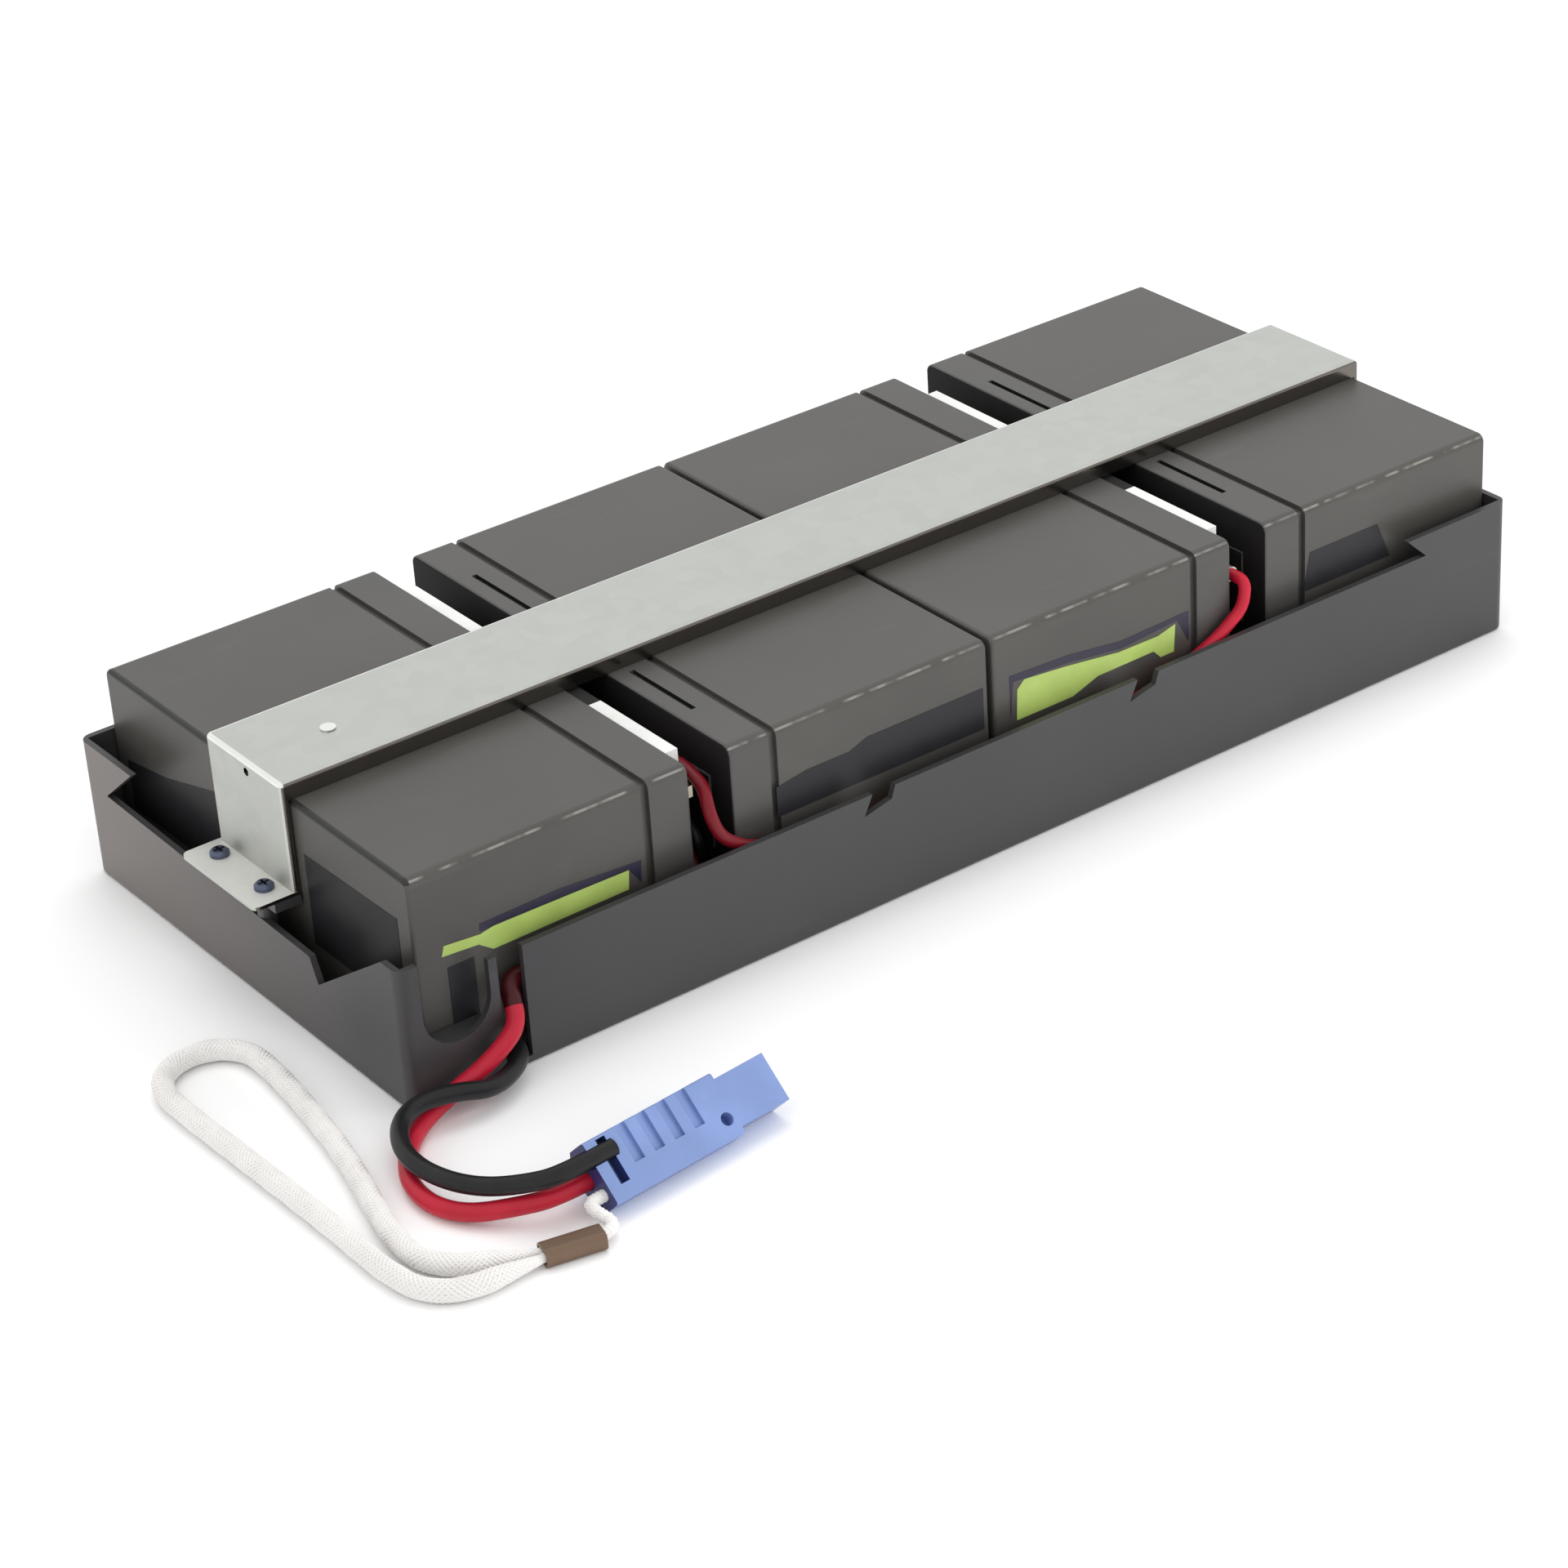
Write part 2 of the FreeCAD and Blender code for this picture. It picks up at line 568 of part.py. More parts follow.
def make_cord(label, points, diameter):
    points = [Vector(*point) for point in points]
    edges = []
    start = points[0]
    radii = []
    for before, corner, after in zip(points, points[1:], points[2:]):
        into = (corner - before).normalize()
        out = (after - corner).normalize()
        half_turn = into.getAngle(out) / 2
        tangent = 0.45 * min((corner - before).Length, (after - corner).Length)
        radius = tangent / math.tan(half_turn)
        radii.append(radius)
        arc_start = corner - into * tangent
        arc_end = corner + out * tangent
        inner = (out - into).normalize()
        arc_middle = corner + inner * (radius / math.cos(half_turn) - radius)
        edges.append(Part.LineSegment(start, arc_start).toShape())
        edges.append(Part.Arc(arc_start, arc_middle, arc_end).toShape())
        start = arc_end
    edges.append(Part.LineSegment(start, points[-1]).toShape())
    path = Part.Wire(edges)
    section = Part.Face(Part.Wire(Part.Circle(points[0], points[1] - points[0], diameter / 2).toShape()))
    cord = doc.addObject("Part::Feature", label)
    cord.Label = label
    cord.Shape = path.makePipe(section)
    ideal = math.pi * diameter ** 2 / 4 * path.Length
    print(f"{label}: length {path.Length:.1f}, volume ratio {cord.Shape.Volume / ideal:.4f}, "
          f"tightest radius {min(radii):.1f}, radii {[round(r) for r in radii]}")
    return cord


def in_gap(number, points):
    # points are given from the lid face of a block: away from the lid, then Y and Z
    face, _ = terminal_place("front", number, 0)
    return [(face.x + reach, y, z) for reach, y, z in points]


def make_jumpers():
    thick = size("jumper_diameter")
    jumpers = []
    for label, row, number in (("jumper_front_1_2", "front", 1), ("jumper_front_3_4", "front", 3)):
        start = barrel_end(row, number, 1)
        end = barrel_end(row, number + 1, 0)
        middle = in_gap(number, [(4.5, -11.7, 37.5), (7, -37, 32), (11, -61, 41), (11, -73.7, 38.5)])
        jumpers.append(make_cord(label, [start, *middle, end], thick))
    for label, row, number in (("jumper_back_2_1", "back", 1), ("jumper_back_4_3", "back", 3)):
        start = barrel_end(row, number + 1, 1)
        end = barrel_end(row, number, 0)
        middle = in_gap(number, [(11, 79.3, 38.5), (10, 62, 41), (6, 38, 33), (4.5, 17.3, 36)])
        jumpers.append(make_cord(label, [start, *middle, end], thick))
    start = barrel_end("front", 4, 1)
    end = barrel_end("back", 4, 0)
    middle = in_gap(3, [(11, -11.7, 37), (11, 2.8, 46), (11, 17.3, 37)])
    jumpers.append(make_cord("jumper_row_to_row", [start, *middle, end], thick))

    # along the front wall, from the first gap to the second
    start = barrel_end("front", 2, 1)
    end = barrel_end("front", 3, 0)
    rise = in_gap(1, [(11, -11.7, 42), (11, -22, 53.5), (11, -46, 58), (10.6, -70, 61.8), (7, -85, 61.6),
                      (4.6, -91, 54.5), (8, -91.2, 46), (16, -91, 39.5), (30, -91, 34.5), (50, -91, 31)])
    along = in_gap(3, [(-165, -91, 28), (-110, -91, 27), (-58, -91, 29), (-28, -91, 34), (-9, -91, 41),
                       (2.5, -91, 48.5), (4.5, -90, 57)])
    jumpers.append(make_cord("jumper_front_2_3", [start, *rise, *along, end], thick))

    # under the channel, over the block tops, from the second gap to the first
    start = barrel_end("back", 3, 1)
    end = barrel_end("back", 2, 0)
    over = size("base") + size("block_width") + thick / 2 + 0.8
    rise = in_gap(3, [(4.5, 60, 57), (9.5, 44, 60), (11, 28, 65.5), (11, 16, 70.5), (8, 7, over), (-9, 4.5, over),
                      (-34, 4, over)])
    fall = in_gap(1, [(180, 5, over), (125, 3.5, over), (75, 5, over), (38, 4, over), (13, 8, over),
                      (11, 17.3, 67)])
    jumpers.append(make_cord("jumper_back_3_2", [start, *rise, *fall, end], thick))
    return jumpers


# Leads: inside the tray they run between the front wall and block 1, then leave by the slot

RED_EXIT = (-189.3, -96.5, 22.5)
BLACK_EXIT = (-189.3, -96.5, 7.0)

RED_INSIDE = [(-109.75, -73.7, 37), (-110, -82, 28.5), (-110.6, -91, 26.4), (-122, -91, 26), (-150, -90.9, 27),
              (-176, -91, 28.4), (-187.4, -91, 28.6)]
BLACK_INSIDE = [(-109.75, 79.3, 18), (-109.4, 68, 7.5), (-109, 40, 6.3), (-109.6, 0, 6.5), (-109.2, -40, 6.3),
                (-110.6, -79, 6.5), (-110.9, -91, 6.4), (-122, -91, 6.2), (-154, -90.9, 6.6), (-187.2, -91, 7.2)]
RED_ROUTE = [(-197.4, -102.4, 15.2), (-205.6, -102.2, 10.4), (-214.6, -101.4, 6.4), (-224.4, -102.6, 3.9),
             (-234.3, -108.1, 3.1), (-243.2, -117.4, 3.1), (-249.6, -129.2, 3.1), (-250.6, -142, 3.1),
             (-245.6, -153.6, 3.6), (-235.4, -163.6, 6.6)]
BLACK_ROUTE = [(-206.4, -109.8, 7.2), (-218.2, -107.6, 10.4), (-229.4, -104.6, 10.4), (-239.2, -108.6, 9.8),
               (-245.6, -118.6, 9.5), (-247.6, -130.4, 9.4), (-245, -143.4, 9.6), (-239.8, -155, 11),
               (-232, -164.6, 13.6)]
LOOP_ROUTE_MIDDLE = [(-271.5, -180.3, 3.7), (-276.4, -172.7, 3.7), (-278.2, -158.6, 3.7), (-278, -142, 3.7),
                     (-278.4, -121, 3.7), (-279.2, -98, 3.7), (-280, -76, 3.7), (-280.8, -55, 3.7),
                     (-280.6, -36.9, 3.7), (-271.2, -27.5, 3.7), (-258, -27.5, 3.7), (-248.6, -36.9, 3.7),
                     (-249.4, -56, 3.7), (-251.8, -76, 3.7), (-254.8, -96, 3.7), (-258.8, -114.5, 3.7),
                     (-263, -130, 3.7), (-266.8, -145, 3.7), (-268.5, -159.3, 3.7), (-265.6, -167.8, 3.7)]

PLUG_PLACE = FreeCAD.Placement(Vector(-213.7, -165.48, 4.22),
                               FreeCAD.Rotation(Z_AXIS, 5.7).multiply(FreeCAD.Rotation(X_AXIS, 45)))
FERRULE_PLACE = FreeCAD.Placement(Vector(-221.9, -187.7, 3.1), FreeCAD.Rotation(Z_AXIS, 168))
BORE_DEPTH = 9.0
BLACK_BORE = (5.0, 11.6)
RED_BORE = (0.5, 4.6)
CORD_BORE = (-5.5, 8.5)


def on_plug(x, y, z):
    return PLUG_PLACE.multVec(Vector(x, y, z))


def on_ferrule(x, y):
    return FERRULE_PLACE.multVec(Vector(x, y, 0))


def straight_past(before, point, distance):
    way = (Vector(*point) - Vector(*before)).normalize()
    return Vector(*point) + way * distance


def make_leads():
    thick = size("lead_diameter")
    red_plug = [on_plug(x, *RED_BORE) for x in (-10, BORE_DEPTH)]
    black_plug = [on_plug(x, *BLACK_BORE) for x in (-10, BORE_DEPTH)]
    red_start = straight_past(RED_INSIDE[-1], RED_EXIT, 5)
    black_start = straight_past(BLACK_INSIDE[-1], BLACK_EXIT, 6)
    return [
        make_cord("red_lead_inside", [barrel_end("front", 1, 0), *RED_INSIDE, RED_EXIT], thick),
        make_cord("black_lead_inside", [barrel_end("back", 1, 1), *BLACK_INSIDE, BLACK_EXIT], thick),
        make_cord("red_lead", [RED_EXIT, red_start, *RED_ROUTE, *red_plug], thick),
        make_cord("black_lead", [BLACK_EXIT, black_start, *BLACK_ROUTE, *black_plug], thick),
    ]


def make_pull_cord():
    wide = size("loop_diameter")
    length = size("ferrule_length")
    link = [on_plug(4, *CORD_BORE), on_plug(-7, *CORD_BORE), on_ferrule(-7, 0), on_ferrule(5, 0)]
    tips = [on_ferrule(length - 2, side * 1.15) for side in (1, -1)]
    starts = [on_ferrule(length + 14, side * 4.0) + Vector(0, 0, 0.6) for side in (1, -1)]
    out = [starts[0], straight_past(tips[0], starts[0], 9)]
    back = [straight_past(tips[1], starts[1], 7), starts[1]]
    loop = make_cord("pull_cord_loop", [*out, *LOOP_ROUTE_MIDDLE, *back], wide)
    # both ends are gathered into the ferrule
    ends = [Part.makeCone(wide / 2, 1.1, (tip - start).Length, start, tip - start)
            for start, tip in zip(starts, tips)]
    loop.Shape = loop.Shape.fuse(ends).removeSplitter()
    return [make_cord("pull_cord_link", link, size("cord_diameter")), loop]

# Two-pole connector: grooved body that rests on a chamfered edge, narrower nose with two mouths, bores at the rear

def make_plug():
    body = add_body("connector_housing")
    half = "dims.plug_width / 2"
    nose = "dims.plug_nose_width / 2"
    shoulder = "dims.plug_length - dims.plug_nose_length"
    section = add_sketch(body, "YZ_Plane")
    draw_polygon(section, [(f"-{half} + dims.plug_seat_edge", "0"), (f"{half} - dims.plug_seat_edge", "0"),
                           (half, "dims.plug_seat_edge"), (half, "dims.plug_height"),
                           (f"-{half}", "dims.plug_height"), (f"-{half}", "dims.plug_seat_edge")])
    grip = add_pad(body, section, shoulder)
    add_fillet(body, grip, "1.2", lambda edge: runs_along(edge, X_AXIS)
               and lies_at(edge, Z_AXIS, size("plug_height")))
    front = add_sketch(body, "YZ_Plane", f"{shoulder} - 1")
    draw_rectangle(front, f"-{nose}", "dims.plug_nose_inset", nose, "dims.plug_height")
    add_pad(body, front, "dims.plug_nose_length + 1")

    # grip grooves across the wide face, open at its upper edge
    groove = add_sketch(body, "XY_Plane", "dims.plug_height")
    draw_rectangle(groove, "12", "-2", "15.8", f"{half} + 1")
    groove_cut = add_pocket(body, groove, "1.4")
    doc.recompute()
    grooves = body.newObject("PartDesign::LinearPattern", "Grooves")
    grooves.Originals = [groove_cut]
    grooves.Direction = (next(item for item in body.Origin.OriginFeatures if item.Role == "X_Axis"), [""])
    grooves.Length = 23.1
    grooves.Occurrences = 4
    body.Tip = grooves

    slot = add_sketch(body, "XY_Plane", "dims.plug_height")
    draw_rectangle(slot, "4.2", "-5.5", "7.6", f"{half} - 1")
    add_pocket(body, slot, "5")
    pin_hole = add_sketch(body, "XY_Plane", "dims.plug_height")
    draw_circle(pin_hole, "46", "-4.1", "2.1")
    add_pocket(body, pin_hole, "5")
    bores = add_sketch(body, "YZ_Plane")
    for y, z in (BLACK_BORE, RED_BORE):
        draw_circle(bores, f"{y}", f"{z}", "dims.lead_diameter / 2 + 0.1")
    add_pocket(body, bores, f"{BORE_DEPTH}", reverse=True)
    cord_bore = add_sketch(body, "YZ_Plane")
    draw_circle(cord_bore, f"{CORD_BORE[0]}", f"{CORD_BORE[1]}", "dims.cord_diameter / 2 + 0.1")
    add_pocket(body, cord_bore, "4", reverse=True)
    mouths = add_sketch(body, "YZ_Plane", "dims.plug_length")
    for low, high in (("-7.2", "-0.6"), ("0.6", "7.2")):
        draw_rectangle(mouths, low, "3.2", high, "12")
    body.Tip = add_pocket(body, mouths, "dims.plug_nose_length")
    body.Placement = PLUG_PLACE
    return body

def make_contacts():
    tongues = []
    for side, left in (("a", "-5.8"), ("b", "2.0")):
        tongues.append(add_box(f"connector_contact_{side}", "12", "3.8", "1.6",
                               "dims.plug_length - dims.plug_nose_length", left, "3.2"))
    group = add_group("connector_contacts", tongues)
    group.Placement = PLUG_PLACE
    return group

def make_ferrule():
    body = add_body("cord_ferrule")
    wide = "dims.ferrule_width / 2"
    half = "dims.ferrule_height / 2"
    shell = add_sketch(body, "YZ_Plane")
    draw_rectangle(shell, f"-{wide}", f"-{half}", wide, half)
    sleeve = add_pad(body, shell, "dims.ferrule_length")
    add_fillet(body, sleeve, "2.2", lambda edge: runs_along(edge, X_AXIS))
    link = add_sketch(body, "YZ_Plane")
    draw_circle(link, "0", "0", "dims.cord_diameter / 2 + 0.05")
    add_pocket(body, link, "5", reverse=True)
    loop = add_sketch(body, "YZ_Plane", "dims.ferrule_length")
    draw_rectangle(loop, "-3.1", "-1.7", "3.1", "1.7")
    body.Tip = add_pocket(body, loop, "2.3")
    body.Placement = FERRULE_PLACE
    return body

parts = [make_tray(), make_channel(), make_screws()]
for row in ROWS:
    for number in BLOCK_STARTS:
        parts.append(make_case(row, number))
        parts.append(make_lid(row, number))
        parts.append(make_terminals(row, number))
        parts.append(make_receptacles(row, number))
parts.append(make_strip("gap_strip_near", 1))
parts.append(make_strip("gap_strip_far", 3))
parts.extend(make_jumpers())
parts.extend(make_leads())
parts.extend(make_pull_cord())
parts.extend([make_plug(), make_contacts(), make_ferrule()])
doc.recompute()

for item in doc.Objects:
    if "Invalid" in item.State or "Error" in item.State:
        raise RuntimeError(f"{item.Label} failed: {item.State}")
for part in parts:
    if part.Shape.isNull() or not part.Shape.isValid():
        raise RuntimeError(f"{part.Label} has no valid shape")
os.makedirs("parts", exist_ok=True)
for part in parts:
    part.Shape.exportStep(f"parts/{part.Label}.step")
print(f"{len(parts)} parts written")
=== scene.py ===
import math

import bmesh
import bpy
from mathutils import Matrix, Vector


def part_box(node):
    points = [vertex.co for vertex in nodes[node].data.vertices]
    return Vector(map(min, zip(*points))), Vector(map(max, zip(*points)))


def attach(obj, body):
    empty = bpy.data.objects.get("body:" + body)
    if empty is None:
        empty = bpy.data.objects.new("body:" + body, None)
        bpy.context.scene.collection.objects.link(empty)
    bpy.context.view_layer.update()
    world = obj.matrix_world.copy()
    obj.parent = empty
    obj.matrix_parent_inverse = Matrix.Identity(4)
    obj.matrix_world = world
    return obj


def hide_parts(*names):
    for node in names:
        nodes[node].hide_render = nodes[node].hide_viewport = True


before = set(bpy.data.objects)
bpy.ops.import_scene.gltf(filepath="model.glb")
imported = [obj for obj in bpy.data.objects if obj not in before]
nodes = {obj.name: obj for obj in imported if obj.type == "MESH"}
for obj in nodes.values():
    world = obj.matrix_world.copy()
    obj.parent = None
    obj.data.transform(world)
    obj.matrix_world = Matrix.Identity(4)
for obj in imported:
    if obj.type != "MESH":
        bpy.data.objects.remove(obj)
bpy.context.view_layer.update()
print("frame loaded,", len(nodes), "nodes")

rowNames = ("front", "back")
blockNumbers = (1, 2, 3, 4)
mmPerMetre = 1000
fullTurn = 2 * math.pi
black = (0, 0, 0)
white = (1.0, 1.0, 1.0, 1.0)
plainGloss = 0.5
fineRelief = 0.0002  # bump depth of a hard surface, metres


# shader helpers

def addNode(tree, kind, settings=None, inputs=None):
    node = tree.nodes.new(kind)
    for name, value in (settings or {}).items():
        setattr(node, name, value)
    for name, value in (inputs or {}).items():
        node.inputs[name].default_value = value
    return node


def newMaterial(name):
    material = bpy.data.materials.new(name)
    material.use_nodes = True
    tree = material.node_tree
    shader = tree.nodes["Principled BSDF"]
    coords = addNode(tree, "ShaderNodeTexCoord")
    return material, tree, shader, coords.outputs["Object"]


def wireUp(tree, shader, sources):
    for socket, source in sources.items():
        tree.links.new(source, shader.inputs[socket])


def noiseAt(tree, coords, scale, detail, stretch=None):
    source = coords
    if stretch:
        mapping = addNode(tree, "ShaderNodeMapping", inputs={"Scale": stretch})
        tree.links.new(coords, mapping.inputs["Vector"])
        source = mapping.outputs["Vector"]
    noise = addNode(tree, "ShaderNodeTexNoise", inputs={"Scale": scale, "Detail": detail})
    tree.links.new(source, noise.inputs["Vector"])
    return noise.outputs["Fac"]


def ramp(tree, factor, stops):
    node = addNode(tree, "ShaderNodeValToRGB")
    for element, (place, color) in zip(node.color_ramp.elements, stops):
        element.position = place
        element.color = (*color, 1.0)
    tree.links.new(factor, node.inputs["Fac"])
    return node.outputs["Color"]


def shade(color, factor):
    return tuple(min(1.0, channel * factor) for channel in color)


def tones(tree, factor, color, stops):
    return ramp(tree, factor, [(place, shade(color, share)) for place, share in stops])


def patches(tree, factor, places, strength):
    return ramp(tree, factor, [(places[0], black), (places[1], (strength,) * 3)])


def rangeOf(tree, factor, low, high, start=0.0, end=1.0):
    node = addNode(tree, "ShaderNodeMapRange",
                   inputs={"From Min": start, "From Max": end, "To Min": low, "To Max": high})
    tree.links.new(factor, node.inputs["Value"])
    return node.outputs["Result"]


def bumpFrom(tree, height, strength, depth):
    node = addNode(tree, "ShaderNodeBump", inputs={"Strength": strength, "Distance": depth})
    tree.links.new(height, node.inputs["Height"])
    return node.outputs["Normal"]


def mixColor(tree, factor, first, second):
    node = addNode(tree, "ShaderNodeMix", {"data_type": "RGBA"})
    tree.links.new(factor, node.inputs["Factor"])
    for socket, value in ((node.inputs["A"], first), (node.inputs["B"], second)):
        if isinstance(value, tuple):
            socket.default_value = (*value, 1.0)
        else:
            tree.links.new(value, socket)
    return node.outputs["Result"]


def splitPlace(tree, coords):
    place = addNode(tree, "ShaderNodeSeparateXYZ")
    tree.links.new(coords, place.inputs["Vector"])
    return place.outputs


def insideOf(tree, coords, limits, mask=None):
    place = splitPlace(tree, coords)
    for axis, operation, limit in limits:
        near = addNode(tree, "ShaderNodeMath", {"operation": operation})
        tree.links.new(place[axis], near.inputs[0])
        near.inputs[1].default_value = limit
        if mask is None:
            mask = near.outputs[0]
            continue
        both = addNode(tree, "ShaderNodeMath", {"operation": "MULTIPLY"})
        tree.links.new(mask, both.inputs[0])
        tree.links.new(near.outputs[0], both.inputs[1])
        mask = both.outputs[0]
    return mask


# moulded plastics: faint cloudiness, fine spark texture, rubbed streaks

moulding = {
    "cloudDetail": 4.0,
    "cloudTones": [(0.3, 0.9), (0.7, 1.1)],
    "streakScale": 60.0,
    "streakDetail": 5.0,
    "streakPlaces": (0.62, 0.78),
    "streakTone": 1.9,
    "roughSpread": 0.06,
    "grainDetail": 2.0,
}
topEdge = {  # painted highlight in dashes along the front row's top edge, a dark line along the first blocks' near one
    "dashScale": 95.0,
    "dashDetail": 2.0,
    "dashStretch": (1.0, 0.0, 0.0),
    "dashPlaces": (0.44, 0.56),
    "frontWidth": 0.0012,
    "frontTone": 4.2,
    "nearWidth": 0.0016,
    "nearTone": 0.2,
}


def edgeTones(tree, coords, color, look):
    low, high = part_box("battery_case_front_1")
    dashes = noiseAt(tree, coords, topEdge["dashScale"], topEdge["dashDetail"], topEdge["dashStretch"])
    highlightDashes = patches(tree, dashes, topEdge["dashPlaces"], look["edgeHighlight"])
    frontLine = [("Y", "LESS_THAN", low.y + topEdge["frontWidth"]),
                 ("Z", "GREATER_THAN", high.z - topEdge["frontWidth"])]
    nearLine = [("X", "LESS_THAN", low.x + topEdge["nearWidth"]),
                ("Z", "GREATER_THAN", high.z - topEdge["nearWidth"])]
    # painted highlight: pale dashes along the front top edge
    color = mixColor(tree, insideOf(tree, coords, frontLine, highlightDashes), color,
                     shade(look["color"], topEdge["frontTone"]))
    return mixColor(tree, insideOf(tree, coords, nearLine), color,
                    shade(look["color"], topEdge["nearTone"]))


def mouldedPlastic(name, look):
    material, tree, shader, coords = newMaterial(name)
    cloud = noiseAt(tree, coords, look["cloudScale"], moulding["cloudDetail"])
    base = tones(tree, cloud, look["color"], moulding["cloudTones"])
    streak = noiseAt(tree, coords, moulding["streakScale"], moulding["streakDetail"],
                     look["streakStretch"])
    rubbed = patches(tree, streak, moulding["streakPlaces"], look["rub"])
    color = mixColor(tree, rubbed, base, shade(look["color"], moulding["streakTone"]))
    # painted light: the colour turns lighter towards +Y between the look's two places
    if look.get("paintedLight"):
        along = rangeOf(tree, splitPlace(tree, coords)["Y"], 0.0, 1.0, *look["paintedLightPlaces"])
        color = mixColor(tree, along, color, look["paintedLight"])
    if look.get("edgeHighlight"):
        color = edgeTones(tree, coords, color, look)
    grain = noiseAt(tree, coords, look["grainScale"], moulding["grainDetail"])
    smoothest = look["roughness"] - moulding["roughSpread"]
    roughest = look["roughness"] + moulding["roughSpread"]
    wireUp(tree, shader, {
        "Base Color": color,
        "Roughness": rangeOf(tree, cloud, smoothest, roughest),
        "Normal": bumpFrom(tree, grain, look["grain"], fineRelief),
    })
    shader.inputs["Specular IOR Level"].default_value = look.get("gloss", plainGloss)
    return material


trayLook = {"color": (0.044, 0.042, 0.043), "cloudScale": 14.0, "streakStretch": (0.25, 0.25, 2.0),
            "rub": 0.2, "roughness": 0.44, "grainScale": 1400.0, "grain": 0.25}
# the near end wall is tray plastic with painted light, lighter towards its back end
endWallLook = {**trayLook, "paintedLight": (0.165, 0.145, 0.135), "paintedLightPlaces": (-0.07, 0.09)}
caseLook = {"color": (0.066, 0.063, 0.057), "cloudScale": 22.0, "streakStretch": (0.5, 2.0, 2.0),
            "rub": 0.18, "roughness": 0.37, "grainScale": 1800.0, "grain": 0.16, "edgeHighlight": 0.8}
nearCaseLook = {**caseLook, "gloss": 0.3}
lidLook = {"color": (0.066, 0.064, 0.061), "cloudScale": 22.0, "streakStretch": (1.0, 0.5, 2.0),
           "rub": 0.12, "roughness": 0.37, "grainScale": 1800.0, "grain": 0.16, "edgeHighlight": 0.8}
# lid faces that look into the gaps between blocks get painted shade, near black
gapShadeLook = {"color": (0.014, 0.013, 0.013), "cloudScale": 22.0, "streakStretch": (1.0, 0.5, 2.0),
           "rub": 0.1, "roughness": 0.6, "grainScale": 1800.0, "grain": 0.16, "gloss": 0.15}
plugLook = {"color": (0.20, 0.285, 0.56), "cloudScale": 60.0, "streakStretch": (0.6, 2.0, 2.0),
            "rub": 0.08, "roughness": 0.38, "grainScale": 2600.0, "grain": 0.12}
# painted shade: the connector's rear face in dark blue
plugRearShadeLook = {**plugLook, "color": (0.022, 0.034, 0.15)}
trayPlastic = mouldedPlastic("trayPlastic", trayLook)
endWallPlastic = mouldedPlastic("endWallPlastic", endWallLook)
casePlastic = mouldedPlastic("casePlastic", caseLook)
nearCasePlastic = mouldedPlastic("nearCasePlastic", nearCaseLook)
lidPlastic = mouldedPlastic("lidPlastic", lidLook)
gapShadePlastic = mouldedPlastic("gapShadePlastic", gapShadeLook)
plugPlastic = mouldedPlastic("plugPlastic", plugLook)
plugRearShade = mouldedPlastic("plugRearShade", plugRearShadeLook)


# zinc coated sheet and plated metal: soft spangle, fine rolling marks along the strip, dull patches

sheet = {
    "spangleTones": [(0.0, 0.975), (1.0, 1.02)],
    "rolledScale": 180.0,
    "rolledDetail": 4.0,
    "rolledStretch": (0.06, 1.0, 1.0),
    "rolledRelief": 0.12,
    "handledScale": 26.0,
    "handledDetail": 5.0,
    "handledPlaces": (0.5, 0.75),
    "handledTone": 0.8,
    "smoother": 0.08,
    "rougher": 0.1,
}


def zincSheet(name, look):
    material, tree, shader, coords = newMaterial(name)
    spangle = addNode(tree, "ShaderNodeTexVoronoi",
                      inputs={"Scale": look["spangleScale"], "Randomness": 1.0})
    tree.links.new(coords, spangle.inputs["Vector"])
    cell = addNode(tree, "ShaderNodeSeparateColor")
    tree.links.new(spangle.outputs["Color"], cell.inputs["Color"])
    tone = tones(tree, cell.outputs["Red"], look["color"], sheet["spangleTones"])
    handled = noiseAt(tree, coords, sheet["handledScale"], sheet["handledDetail"])
    dull = patches(tree, handled, sheet["handledPlaces"], look["dull"])
    rolled = noiseAt(tree, coords, sheet["rolledScale"], sheet["rolledDetail"], sheet["rolledStretch"])
    smoothest = look["roughness"] - sheet["smoother"]
    roughest = look["roughness"] + sheet["rougher"]
    wireUp(tree, shader, {
        "Base Color": mixColor(tree, dull, tone, shade(look["color"], sheet["handledTone"])),
        "Roughness": rangeOf(tree, rolled, smoothest, roughest),
        "Normal": bumpFrom(tree, rolled, sheet["rolledRelief"], fineRelief),
    })
    shader.inputs["Metallic"].default_value = look["metal"]
    return material


channelLook = {"color": (0.56, 0.575, 0.54), "spangleScale": 150.0,
               "roughness": 0.34, "dull": 0.12, "metal": 1.0}
# painted highlight: bright steel for the channel's folds
foldHighlightLook = {**channelLook, "color": (0.86, 0.87, 0.84)}
plateLook = {**channelLook, "color": (0.54, 0.55, 0.52), "roughness": 0.55}
footLook = {"color": (0.74, 0.74, 0.70), "spangleScale": 150.0,
            "roughness": 0.45, "dull": 0.1, "metal": 0.3}
# painted shade: dark steel for the channel's flanges
flangeShadeLook = {"color": (0.17, 0.155, 0.14), "spangleScale": 150.0,
              "roughness": 0.24, "dull": 0.2, "metal": 1.0}
screwLook = {"color": (0.11, 0.13, 0.19), "spangleScale": 500.0,
             "roughness": 0.36, "dull": 0.3, "metal": 0.9}
bladeLook = {"color": (0.70, 0.66, 0.55), "spangleScale": 700.0,
             "roughness": 0.32, "dull": 0.3, "metal": 0.95}
contactLook = {"color": (0.76, 0.70, 0.56), "spangleScale": 700.0,
               "roughness": 0.3, "dull": 0.2, "metal": 0.95}
crimpLook = {"color": (0.19, 0.125, 0.085), "spangleScale": 420.0,
             "roughness": 0.45, "dull": 0.5, "metal": 0.6}
zincSteel = zincSheet("zincSteel", channelLook)
foldHighlightSteel = zincSheet("foldHighlightSteel", foldHighlightLook)
